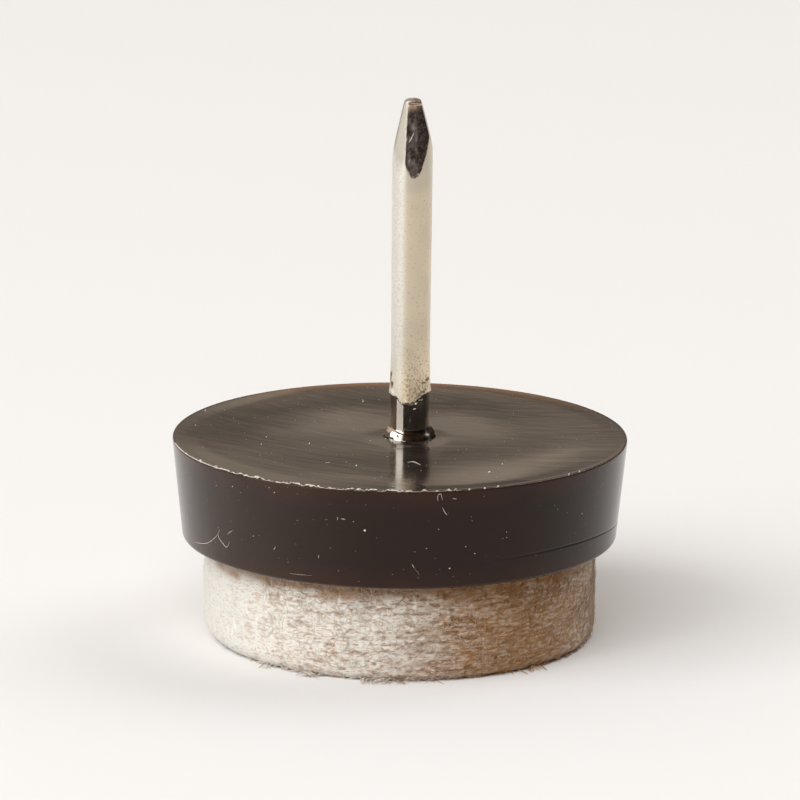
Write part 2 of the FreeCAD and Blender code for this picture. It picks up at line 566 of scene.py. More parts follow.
@dataclass(frozen=True)
class PlatedWire:
    """Nickel-plated steel wire, drawn, tumbled and then sheared to a point.

    The tumbled plating is a pale, warm, satin metal with fine dark pinholes, chalky near the root.
    The die polished the neck, so it mirrors what is near. The shear left bare darker steel on the
    front flat, painted darker still as a painted reflection of the dark room that the flat faces, and
    the bruised tip is coppery. The collar's front and right are painted dark, as painted shade for the
    dark room that they mirror.
    """

    plating: str = "#ECEAE2"
    tarnish: str = "#C9BFAD"
    dull: str = "#ABA69C"
    chalky: str = "#FAF3E4"
    fleck_ground: str = "#F8E2C0"
    pinhole: str = "#8F6C4E"
    polished: str = "#D0C8BB"
    sheared: str = "#B4A89F"
    # Partly bare sheared steel, partly a painted reflection of the dark room that the front flat faces.
    sheared_deep_and_dark_reflection: str = "#423832"
    coppery: str = "#A18570"
    # Painted shade: the dark that the collar's front and right mirror, laid on as colour.
    grime: str = "#2E2118"
    smear: str = "#6E5238"
    # Drawn as coarse as pinholes need to show.
    pinhole_size: float = 0.1
    mottle_size: float = 0.9
    shear_size: float = 0.14
    shear_stretch: float = 0.9
    # Noise level above which a pinhole opens, on clean plating and where the specks are thickest.
    pinhole_level: Span = (0.69, 0.49)
    # Roughness where each mark is full. Each lies over the ones before it.
    mark_rough: tuple[tuple[str, float], ...] = (
        ("flat", 0.46), ("powdery", 0.6), ("burnish", 0.07), ("cut", 0.34), ("grime", 0.55),
    )

    def material(self) -> bpy.types.Material:
        """Builds the nail's material.

        Returns:
            The material, which reads the marks that the nail's mesh carries.
        """
        material = blank_material("nickel_plated_drawn_wire")
        tree = material.node_tree
        place = add_node(tree, "TexCoord").outputs["Object"]
        names = (
            "burnish", "cut", "tone", "worn", "grime", "smear", "speck", "tarnish", "flat", "chalky",
            "powdery",
        )
        marks = {name: add_node(tree, "Attribute", attribute_name=name).outputs["Fac"] for name in names}
        stretched = add_node(tree, "VectorMath", {
            0: place, 1: (1.0, 1.0, self.shear_stretch),
        }, operation="MULTIPLY").outputs[0]
        pinholes, mottle, shear = (
            add_node(tree, "TexNoise", {
                "Vector": vector, "Scale": per_size(size), "Detail": detail,
            }).outputs[0]
            for vector, size, detail in (
                (place, self.pinhole_size, 3.0), (place, self.mottle_size, 5.0),
                (stretched, self.shear_size, 5.0),
            )
        )
        threshold = add_node(tree, "MapRange", {
            "Value": marks["speck"], "To Min": self.pinhole_level[0], "To Max": self.pinhole_level[1],
        })
        excess = add_node(tree, "Math", {0: pinholes, 1: threshold.outputs[0]}, operation="SUBTRACT")
        pinhole = add_node(tree, "MapRange", {
            "Value": excess.outputs[0], "From Max": 0.1, "To Max": 0.5,
        }).outputs[0]
        stained = add_node(tree, "MapRange", {
            "Value": pinholes, "From Min": 0.4, "From Max": 0.7, "To Max": 0.5,
        }).outputs[0]
        dulled, ground, paled = (
            add_node(tree, "Math", {0: marks[name], 1: share}, operation="MULTIPLY").outputs[0]
            for name, share in (("flat", 0.9), ("speck", 0.7), ("chalky", 0.7))
        )
        toned = add_node(tree, "Math", {0: shear, 1: 0.9, 2: marks["tone"]}, operation="MULTIPLY_ADD")
        steel_share = add_node(tree, "MapRange", {
            "Value": toned.outputs[0], "From Min": 0.4, "From Max": 1.35,
        })
        # The front flat's deepest steel is partly a painted reflection.
        steel = add_node(tree, "Mix", {
            MIX_SHARE: steel_share.outputs[0], MIX_A: linear(self.sheared_deep_and_dark_reflection), MIX_B: linear(self.sheared),
        }, data_type="RGBA").outputs[MIX_RESULT]
        colour = linear(self.plating)
        for amount, layer in (
            (dulled, linear(self.dull)), (stained, linear(self.tarnish)),
            (marks["tarnish"], linear(self.tarnish)), (paled, linear(self.chalky)),
            (ground, linear(self.fleck_ground)), (pinhole, linear(self.pinhole)),
            (marks["burnish"], linear(self.polished)), (marks["smear"], linear(self.smear)),
            (marks["grime"], linear(self.grime)), (marks["cut"], steel),
            (marks["worn"], linear(self.coppery)),
        ):
            colour = add_node(tree, "Mix", {
                MIX_SHARE: amount, MIX_A: colour, MIX_B: layer,
            }, data_type="RGBA").outputs[MIX_RESULT]
        rough = add_node(tree, "MapRange", {
            "Value": mottle, "From Min": 0.3, "From Max": 0.7, "To Min": 0.28, "To Max": 0.40,
        }).outputs[0]
        for name, roughness in self.mark_rough:
            rough = add_node(tree, "Mix", {
                MIX_SHARE: marks[name], MIX_VALUE_A: rough, MIX_VALUE_B: roughness,
            }, data_type="FLOAT").outputs[0]
        torn = add_node(tree, "Math", {0: shear, 1: marks["cut"]}, operation="MULTIPLY").outputs[0]
        height = add_node(tree, "Math", {0: pinhole, 1: -0.12}, operation="MULTIPLY").outputs[0]
        for pattern, amount in ((mottle, 0.6), (torn, 1.1)):
            height = add_node(tree, "Math", {
                0: pattern, 1: amount, 2: height,
            }, operation="MULTIPLY_ADD").outputs[0]
        calm = add_node(tree, "MapRange", {"Value": marks["burnish"], "To Min": 1.0, "To Max": 0.05})
        height = add_node(tree, "Math", {0: height, 1: calm.outputs[0]}, operation="MULTIPLY")
        bump = add_node(tree, "Bump", {"Strength": 0.6, "Distance": 0.02 * MM, "Height": height.outputs[0]})
        skin = add_node(tree, "BsdfPrincipled", {
            "Base Color": colour, "Metallic": 1.0, "Roughness": rough, "Normal": bump.outputs[0],
        })
        add_node(tree, "OutputMaterial", {"Surface": skin.outputs[0]})
        return material


@dataclass
class WireNail:
    """The nail: hidden head, collar, polished neck, ragged lip of plating, shank and sheared point."""

    columns: int = 192
    head_radius: float = 2.3
    head_thickness: float = 0.9
    under_head_radius: float = 1.25
    collar_set: float = 0.25
    collar_foot: float = 1.31
    collar_top: float = 1.15
    collar_height: float = 0.4
    collar_dip: float = 0.24
    collar_sag: float = 0.26
    collar_rise: float = 0.07
    neck_radius: float = 1.025
    lip_proud: float = 0.05
    root_flare: float = 0.045
    lip_height: float = 0.4
    shank_low: float = 1.025
    shank_high: float = 1.06
    dome_radius: float = 0.57
    dome_height: float = 0.3
    tip_proud: float = 0.05
    edge_soft: float = 0.04
    lean: float = 0.0022
    # Two ends of a gouge in the front flat: azimuth and distance below the tip.
    gouge: tuple[tuple[float, float], tuple[float, float]] = ((-14.0, 2.16), (3.0, 1.72))
    gouge_turn: float = 2.0
    gouge_depth: float = 0.03
    # Height of the lip above the disc, by azimuth.
    lip_levels: dict[float, float] = field(default_factory=lambda: {
        -180: 2.4, -90: 2.34, -45: 2.33, -24: 1.98, 0: 2.0, 13: 2.1, 32: 2.34, 45: 2.42, 60: 2.47, 90: 2.45,
        180: 2.4,
    })
    # Turn from the front, distance from the axis at the tip, and length of each flat.
    flats: dict[str, tuple[float, float, float]] = field(default_factory=lambda: {
        "front": (5.0, 0.33, 4.05),
        "right": (90.0, 0.385, 2.6),
        "back": (180.0, 0.38, 3.35),
        "left": (-95.0, 0.43, 2.95),
        "left_front": (-39.0, 0.445, 3.75),
    })
    groove_below_tip: float = 0.22
    groove_depth: float = 0.1
    groove_half: float = 0.05
    # The burr that the groove pushed up under it.
    burr_below_groove: float = 0.14
    burr_proud: float = 0.035
    burr_half: float = 0.08
    shank_wave: float = 0.004
    shear_pit_depth: float = 0.009
    shear_wave_depth: float = 0.007
    torn_reach: float = 0.022
    # Azimuth at which the plating runs on down into the neck without a step.
    run_on_turn: float = -35.0
    # Brown smears above the lip: azimuth, height above the disc, and their half sizes.
    smears: tuple[tuple[float, float, float, float], ...] = (
        (-74.0, 3.35, 9.0, 0.28), (-64.0, 2.9, 7.0, 0.22), (62.0, 3.2, 13.0, 0.1), (44.0, 3.08, 8.0, 0.06),
    )
    lip_waves: Noise = Noise(28, 0.5, 11)
    lip_teeth: Noise = Noise(75, 0.12, 12)
    lip_lumps: Noise = Noise(16, 0.3, 13)
    shank_lumps: Noise = Noise(12, 2.0, 14)
    plating_specks: Noise = Noise(60, 0.09, 15)
    shear_pits: Noise = Noise(90, 0.13, 16)
    shear_waves: Noise = Noise(40, 0.5, 17)
    smear_grain: Noise = Noise(70, 0.1, 18)
    worn_edge: Noise = Noise(34, 0.2, 19)
    shear_tone: Noise = Noise(22, 0.3, 20)
    collar_wave: Noise = Noise(14, 1.0, 21)
    collar_nicks: Noise = Noise(46, 1.0, 22)
    torn_edge: Noise = Noise(64, 0.1, 24)

    def __post_init__(self) -> None:
        """Takes the nail's place and height from the frame."""
        low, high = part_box("nail")
        self.axis_x = (low.x + high.x) / 2 / MM
        self.foot = low.z / MM
        self.tip = high.z / MM + self.tip_proud
        self.disc_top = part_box("plastic_base")[1].z / MM

    def levels(self) -> Array:
        """Heights of the rings above the collar, close together where the detail is."""
        collar_top = self.disc_top + self.collar_rise + self.collar_height
        return np.concatenate([
            np.linspace(collar_top + 0.03, self.disc_top + 1.5, 14, endpoint=False),
            np.linspace(self.disc_top + 1.5, self.disc_top + 3.6, 70, endpoint=False),
            np.linspace(self.disc_top + 3.6, self.tip - 4.4, 30, endpoint=False),
            np.linspace(self.tip - 4.4, self.tip - 0.9, 72, endpoint=False),
            self.tip - 0.9 * np.cos(np.linspace(0, math.pi / 2, 34, endpoint=False)) ** 1.5,
        ])

    def lip_line(self, azimuth: Array, level: Array) -> Array:
        """Height of the ragged lower edge of the plating.

        Args:
            azimuth: Degrees from the front.
            level: Heights of the same shape, for the raggedness.

        Returns:
            Heights above the floor.
        """
        height = read_off(self.lip_levels, turn_from(azimuth, 0))
        ragged = 0.05 * self.lip_waves.at(azimuth, level) + 0.05 * self.lip_teeth.at(azimuth, level)
        return self.disc_top + height + ragged

    def flat_radius(self, name: str, azimuth: Array, below_tip: Array) -> Array:
        """Distance from the axis to one flat of the point.

        Args:
            name: The flat.
            azimuth: Degrees from the front.
            below_tip: Distance below the tip.

        Returns:
            Radii, very large where the flat faces away.
        """
        turn, at_tip, length = self.flats[name]
        away = at_tip + (self.shank_high - at_tip) * below_tip / length
        facing = np.cos(np.radians(turn_from(azimuth, turn)))
        return np.where(facing > 0.2, away / np.maximum(facing, 0.2), 10 * self.shank_high)

    def soft_min(self, one: Array, other: Array) -> Array:
        """The smaller of two radii, eased where they meet so that the edge is worn round."""
        return -self.edge_soft * np.log(np.exp(-one / self.edge_soft) + np.exp(-other / self.edge_soft))

    def front_share(self, azimuth: Array) -> Array:
        """How far a place is on the front of the point, from 0 to 1."""
        return smooth(50, 36, np.abs(turn_from(azimuth, 15)))

    def plated_shape(self, azimuth: Array, level: Array) -> tuple[Array, Array]:
        """The neck and the plated shank, before the point is cut.

        Args:
            azimuth: Degrees from the front.
            level: Heights of the same shape.

        Returns:
            Radii, and how far the plating covers the wire, from 0 to 1.
        """
        above = level - self.disc_top
        over_lip = level - self.lip_line(azimuth, level)
        plated = smooth(-0.03, 0.03, over_lip)
        specks = smooth(0.62, 0.75, self.plating_specks.at(azimuth, level)) * smooth(-0.55, -0.1, over_lip)
        specks = specks * smooth(34, 20, np.abs(turn_from(azimuth, 13)))
        plated = np.maximum(plated, specks)
        run_on = smooth(27, 15, np.abs(turn_from(azimuth, self.run_on_turn)))
        lip = self.lip_proud * smooth(self.lip_height, 0.0, over_lip)
        lip = lip * (0.75 + 0.5 * self.lip_lumps.at(azimuth, level))
        lip = lip * (1 - run_on)
        shank = self.shank_low + (self.shank_high - self.shank_low) * smooth(4.0, 15.0, above) + lip
        shank = shank + self.root_flare * smooth(4.8, 2.2, above) * (1 - 0.65 * run_on)
        radius = self.neck_radius + (shank - self.neck_radius) * plated
        return radius + self.shank_wave * self.shank_lumps.at(azimuth, level), plated

    def cut_point(self, azimuth: Array, level: Array, radius: Array) -> tuple[Array, Array]:
        """Cuts the flats, the dome, the groove and the gouge of the point.

        Args:
            azimuth: Degrees from the front.
            level: Heights of the same shape.
            radius: Radii of the wire before the cut.

        Returns:
            Radii, and how far the shear has bared the steel, from 0 to 1.
        """
        below_tip = self.tip - level
        cut = np.zeros_like(radius)
        for name in self.flats:
            flat = self.flat_radius(name, azimuth, below_tip)
            if name == "front":
                pits = self.shear_pit_depth * self.shear_pits.at(azimuth, level)
                flat = flat + (pits + self.shear_wave_depth * self.shear_waves.at(azimuth, level))
                torn = self.torn_reach * self.torn_edge.at(azimuth, level) * smooth(2.6, 3.6, below_tip)
                cut = smooth(-0.006, 0.012, radius - flat + torn)
                radius = np.minimum(radius, flat)
            else:
                cut = np.where(flat < radius - 0.01, 0.0, cut)
                radius = self.soft_min(radius, flat)
        short = np.clip(1 - below_tip / self.dome_height, 0, 1)
        dome = self.dome_radius * np.sqrt(np.clip(1 - short ** 2, 1e-6, None))
        dome = dome + np.clip(below_tip - self.dome_height, 0, None)
        radius = np.minimum(self.soft_min(radius, dome), dome)
        front = self.front_share(azimuth)
        burr = self.groove_below_tip + self.burr_below_groove
        groove = bump_at(below_tip, self.groove_below_tip, self.groove_half)
        radius = radius - self.groove_depth * front * groove
        radius = radius + self.burr_proud * front * bump_at(below_tip, burr, self.burr_half)
        bare = smooth(8, 26, turn_from(azimuth, 0))
        cut = cut * smooth(0.35 - 0.07 * bare, 0.6 - 0.24 * bare, below_tip)
        (start_turn, start_below), (end_turn, end_below) = self.gouge
        along = (start_below - below_tip) / (start_below - end_below)
        beside = turn_from(azimuth, start_turn + (end_turn - start_turn) * along)
        gouge = bump_at(beside, 0, self.gouge_turn) * smooth(-0.25, 0.1, along) * smooth(1.25, 0.9, along)
        return radius - self.gouge_depth * gouge, cut * (1 - 0.55 * gouge)

    def shape(self, azimuth: Array, level: Array) -> tuple[Array, dict[str, Array]]:
        """Radius and surface marks above the collar.

        Args:
            azimuth: Degrees from the front.
            level: Heights of the same shape.

        Returns:
            Radii, and the marks that the plating reads.
        """
        above = level - self.disc_top
        below_tip = self.tip - level
        turn = turn_from(azimuth, 0)
        round_radius, plated = self.plated_shape(azimuth, level)
        radius, cut = self.cut_point(azimuth, level, round_radius)
        cap = smooth(0.3, 0.2, below_tip)
        worn_line = below_tip + 0.16 * self.worn_edge.at(azimuth, level)
        worn = self.front_share(azimuth) * smooth(0.72, 0.42, worn_line) * (1 - cap)
        worn = worn * (1 - 0.75 * smooth(14, 34, turn))
        across = radius * np.sin(np.radians(turn_from(azimuth, self.flats["front"][0])))
        tone = bump_at(across, -0.08, 0.26) * (0.42 + 0.46 * self.shear_tone.at(azimuth, level))
        flat_share = smooth(0.0, 0.12, round_radius - radius) * smooth(4.6, 3.6, below_tip)
        smear = 0.75 * cap * smooth(-45, 30, turn) * smooth(140, 90, turn)
        for centre, height, half_turn, half_height in self.smears:
            spot = bump_at(turn_from(azimuth, centre), 0, half_turn) * bump_at(above, height, half_height)
            spot = spot + 0.35 * self.smear_grain.at(azimuth, level)
            smear = np.maximum(smear, 0.9 * smooth(0.3, 0.7, spot))
        speck = (0.36 + 0.64 * smooth(6.5, 2.4, above)) * smooth(-34, -12, turn) * smooth(110, 70, turn)
        speck = speck * smooth(4.4, 5.2, below_tip)
        tarnish = smooth(-31, -8, turn) * smooth(150, 100, turn) * (1 - 0.35 * smooth(45, 75, turn))
        chalky = smooth(5.4, 3.0, above)
        # The collar mark is painted shade, on the collar and on the foot of the neck.
        marks = {
            "burnish": 1 - plated, "cut": cut, "tone": tone, "worn": worn, "speck": speck,
            "smear": smear * plated, "grime": self.collar_painted_shade(azimuth) * smooth(0.67, 0.5, above),
            "tarnish": tarnish, "flat": flat_share, "chalky": chalky,
            "powdery": chalky * smooth(12, -12, turn),
        }
        return radius, marks

    def collar_painted_shade(self, azimuth: Array) -> Array:
        """How much painted shade the collar has, for the dark room that its front and right mirror, with less
        at one place where the mirrored glint shows.
        """
        turn = turn_from(azimuth, 0)
        return smooth(66, 54, np.abs(turn - 40)) * (1 - 0.4 * bump_at(turn, 58, 6))

    def collar_rings(self, azimuth: Array) -> tuple[list[Array], list[float]]:
        """Rings of the buried head and of the upset collar.

        Args:
            azimuth: Degrees from the front, one for each column.

        Returns:
            Radii by ring, and the rings' heights above the floor.
        """
        head_top = self.foot + self.head_thickness
        sunk = self.disc_top - self.collar_set
        outline = [
            (self.head_radius - 0.1, self.foot), (self.head_radius, self.foot + 0.1),
            (self.head_radius, head_top - 0.1), (self.head_radius - 0.1, head_top),
            (self.under_head_radius, head_top), (self.neck_radius, sunk - 0.02), (self.collar_foot, sunk),
        ]
        radii = [np.full_like(azimuth, radius) for radius, _ in outline]
        heights = [np.full_like(azimuth, height) for _, height in outline]
        steps = np.linspace(0, 1, 16)
        tall = self.collar_height - self.collar_dip * smooth(75, 20, np.abs(turn_from(azimuth, 28)))
        level = np.zeros_like(azimuth)
        wave = self.collar_wave.at(azimuth, level)
        nicks = self.collar_nicks.at(azimuth, level)
        for step in steps:
            swell = math.sin(math.pi * min(1.0, step * 1.1)) ** 0.8
            width = self.collar_foot + (self.collar_top - self.collar_foot) * step ** 2.2
            radii.append(width + 0.05 * swell * wave + 0.025 * swell * nicks)
            height = self.disc_top + self.collar_rise - self.collar_sag + (tall + self.collar_sag) * step
            heights.append(height + 0.05 * step * (wave + 0.6 * nicks))
        radii.append(np.full_like(azimuth, self.neck_radius + 0.015))
        heights.append(self.disc_top + self.collar_rise + tall - 0.02)
        return radii, heights

    def build(self) -> bpy.types.Object:
        """Builds and dresses the nail.

        Returns:
            The piece.
        """
        azimuth = np.linspace(0, 2 * HALF_TURN_DEG, self.columns, endpoint=False)
        low_radii, low_heights = self.collar_rings(azimuth)
        turn, level = np.meshgrid(azimuth, self.levels())
        radius, marks = self.shape(turn, level)
        radii = np.concatenate([np.array(low_radii), radius])
        heights = np.concatenate([np.array(low_heights), level])
        middle_x = self.axis_x + self.lean * np.clip(heights - self.disc_top, 0, None)
        rings = around(radii, azimuth[None, :], heights, middle_x)
        for name, values in marks.items():
            low = np.full((len(low_radii), self.columns), 1.0 if name == "burnish" else 0.0)
            # The collar's own rings take the painted shade too.
            if name == "grime":
                low[:] = self.collar_painted_shade(azimuth)
            marks[name] = np.concatenate([low.ravel(), values.ravel()])
        return make_piece(
            "wire_nail", turned_skin(rings), PlatedWire().material(), Slot.STEEL, marks, ("nail",),
        )


@dataclass(frozen=True)
class MouldedPolypropylene:
    """Dark brown polypropylene, injection moulded in a polished mould and then rubbed in a box.

    It is glossy but not sharp. Fine rubbed streaks run across the top in long arcs. Painted light
    stands in for light on the rest: a painted reflection makes the wall redder near its upper and
    lower edges, a painted glow makes the thin back rim warm brown, and painted light and painted
    reflections make the left of the wall and patches of the top paler.
    """

    brown: str = "#251E1C"
    # Painted reflection: the wall is painted redder near its upper and lower edges.
    painted_edge_red: str = "#31211D"
    top_brown: str = "#1F1815"
    # Painted glow: warm brown on the thin back rim, for light coming through the plastic.
    painted_rim_glow: str = "#8C6442"
    # Paler brown of the rubbed streaks on the top, also used as painted light on the left of the wall and as
    # painted reflection in patches of the top.
    rubbed: str = "#5C534B"
    face_tint: str = "#A39387"
    streak_size: float = 0.55
    streak_length_deg: float = 9.0
    streak_centre: Span = (8.4, 18.9)
    haze_size: float = 2.4
    orange_peel_size: float = 0.5
    # Where the painted redder edges, a painted reflection, begin and are full, as shares of the wall's half
    # height.
    edge_band: Span = (0.35, 0.95)
    wall_rough: Span = (0.12, 0.22)
    top_rough: Span = (0.06, 0.2)

    def material(self, wall_foot: float, wall_top: float) -> bpy.types.Material:
        """Builds the disc's material.

        Args:
            wall_foot: Height of the wall's lower edge above the floor.
            wall_top: Height of its upper edge.

        Returns:
            The material, which reads the marks top, rim and haze.
        """
        material = blank_material("moulded_brown_polypropylene")
        tree = material.node_tree
        place = add_node(tree, "TexCoord").outputs["Object"]
        # The haze mark is painted light on the left of the wall and painted reflection on the top.
        top, rim, smear = (
            add_node(tree, "Attribute", attribute_name=name).outputs["Fac"] for name in ("top", "rim", "haze")
        )
        axis = add_node(tree, "SeparateXYZ", {"Vector": place})
        away_x, away_y = (
            add_node(tree, "Math", {0: axis.outputs[name], 1: centre * MM}, operation="SUBTRACT").outputs[0]
            for name, centre in zip("XY", self.streak_centre)
        )
        flat = add_node(tree, "CombineXYZ", {"X": away_x, "Y": away_y})
        reach = add_node(tree, "VectorMath", {0: flat.outputs[0]}, operation="LENGTH")
        turn = add_node(tree, "Math", {0: away_y, 1: away_x}, operation="ARCTAN2")
        across, along = (
            add_node(tree, "Math", {0: value, 1: scale}, operation="MULTIPLY").outputs[0]
            for value, scale in (
                (reach.outputs["Value"], per_size(self.streak_size)),
                (turn.outputs[0], 1 / math.radians(self.streak_length_deg)),
            )
        )
        arcs = add_node(tree, "CombineXYZ", {"X": across, "Y": along})
        streaks = add_node(tree, "TexNoise", {
            "Vector": arcs.outputs[0], "Scale": 1.0, "Detail": 3.0, "Roughness": 0.65,
        }).outputs[0]
        haze, peel = (
            add_node(tree, "TexNoise", {
                "Vector": place, "Scale": per_size(size), "Detail": detail,
            }).outputs[0]
            for size, detail in ((self.haze_size, 3.0), (self.orange_peel_size, 1.0))
        )
        # The redder band near the wall's upper and lower edges is painted reflection.
        middle = (wall_foot + wall_top) / 2
        half = (wall_top - wall_foot) / 2
        from_middle = add_node(tree, "Math", {0: axis.outputs["Z"], 1: middle * MM}, operation="SUBTRACT")
        edge = add_node(tree, "Math", {0: from_middle.outputs[0]}, operation="ABSOLUTE")
        edge_share = add_node(tree, "MapRange", {
            "Value": edge.outputs[0],
            "From Min": self.edge_band[0] * half * MM, "From Max": self.edge_band[1] * half * MM,
        }, interpolation_type="SMOOTHSTEP")
        hazy_edge = add_node(tree, "Math", {0: edge_share.outputs[0], 1: haze}, operation="MULTIPLY")
        wall_tint = add_node(tree, "MapRange", {
            "Value": hazy_edge.outputs[0], "From Min": 0.1, "From Max": 0.6,
        })
        off_top = add_node(tree, "Math", {0: 1.0, 1: top}, operation="SUBTRACT")
        painted_edge_share = add_node(tree, "Math", {
            0: wall_tint.outputs[0], 1: off_top.outputs[0],
        }, operation="MULTIPLY")
        streak_share = add_node(tree, "MapRange", {
            "Value": streaks, "From Min": 0.4, "From Max": 0.7,
        }).outputs[0]
        blotch = add_node(tree, "Mix", {
            MIX_SHARE: top, MIX_VALUE_A: haze, MIX_VALUE_B: streak_share,
        }, data_type="FLOAT")
        smeared = add_node(tree, "MapRange", {"Value": blotch.outputs[0], "To Min": 0.35, "To Max": 0.75})
        streaked = add_node(tree, "Math", {0: streak_share, 1: 0.22}, operation="MULTIPLY")
        streaked = add_node(tree, "Math", {0: streaked.outputs[0], 1: top}, operation="MULTIPLY")
        # The pale layer is the rubbed streaks of the top, plus painted light and painted reflection where the
        # haze mark is set.
        pale = add_node(tree, "Math", {
            0: smeared.outputs[0], 1: smear, 2: streaked.outputs[0],
        }, operation="MULTIPLY_ADD")
        # These layers paint light: a painted reflection on the wall's edges, a painted glow on the back rim,
        # and paler patches of painted light and painted reflection.
        colour = linear(self.brown)
        for amount, layer in (
            (painted_edge_share.outputs[0], self.painted_edge_red), (top, self.top_brown), (rim, self.painted_rim_glow),
            (pale.outputs[0], self.rubbed),
        ):
            colour = add_node(tree, "Mix", {
                MIX_SHARE: amount, MIX_A: colour, MIX_B: linear(layer),
            }, data_type="RGBA").outputs[MIX_RESULT]
        wall_rough, top_rough = (
            add_node(tree, "MapRange", {"Value": pattern, "To Min": low, "To Max": high}).outputs[0]
            for pattern, (low, high) in ((haze, self.wall_rough), (streaks, self.top_rough))
        )
        rough = add_node(tree, "Mix", {
            MIX_SHARE: top, MIX_VALUE_A: wall_rough, MIX_VALUE_B: top_rough,
        }, data_type="FLOAT")
        rubbed = add_node(tree, "Math", {0: streaks, 1: top}, operation="MULTIPLY")
        height = add_node(tree, "Math", {0: peel, 1: 0.05, 2: rubbed.outputs[0]}, operation="MULTIPLY_ADD")
        bump = add_node(tree, "Bump", {"Strength": 0.5, "Distance": 0.02 * MM, "Height": height.outputs[0]})
        skin = add_node(tree, "BsdfPrincipled", {
            "Base Color": colour, "Roughness": rough.outputs[0], "IOR": 1.49,
            "Specular Tint": linear(self.face_tint), "Normal": bump.outputs[0],
        })
        add_node(tree, "OutputMaterial", {"Surface": skin.outputs[0]})
        return material


@dataclass(frozen=True)
class StressedFlash:
    """Flash that was scraped along the parting edge: the same plastic, torn and gone white."""

    torn: str = "#DAD2C6"
    bruised: str = "#8E8074"
    grain_size: float = 0.08

    def material(self) -> bpy.types.Material:
        """Builds the flash's material.

        Returns:
            The material.
        """
        material = blank_material("stress_whitened_polypropylene")
        tree = material.node_tree
        place = add_node(tree, "TexCoord").outputs["Object"]
        grain = add_node(tree, "TexNoise", {
            "Vector": place, "Scale": per_size(self.grain_size), "Detail": 2.0,
        })
        share = add_node(tree, "MapRange", {"Value": grain.outputs[0], "From Min": 0.32, "From Max": 0.55})
        colour = add_node(tree, "Mix", {
            MIX_SHARE: share.outputs[0], MIX_A: linear(self.bruised), MIX_B: linear(self.torn),
        }, data_type="RGBA").outputs[MIX_RESULT]
        skin = add_node(tree, "BsdfPrincipled", {"Base Color": colour, "Roughness": 0.55, "IOR": 1.49})
        add_node(tree, "OutputMaterial", {"Surface": skin.outputs[0]})
        return material


@dataclass(frozen=True)
class Warp:
    """A band across the disc's top that tilts to or from the front: its line, its tilt and its half width.

    The line gives Y and the tilt gives degrees, each by X.
    """

    line: dict[float, float]
    tilt: dict[float, float]
    half_width: float

    def height(self, x: Array, y: Array) -> Array:
        """Height that the band adds at each point."""
        middle = read_off(self.line, x)
        slope = np.tan(np.radians(read_off(self.tilt, x)))
        return slope * self.half_width * np.tanh((y - middle) / self.half_width)


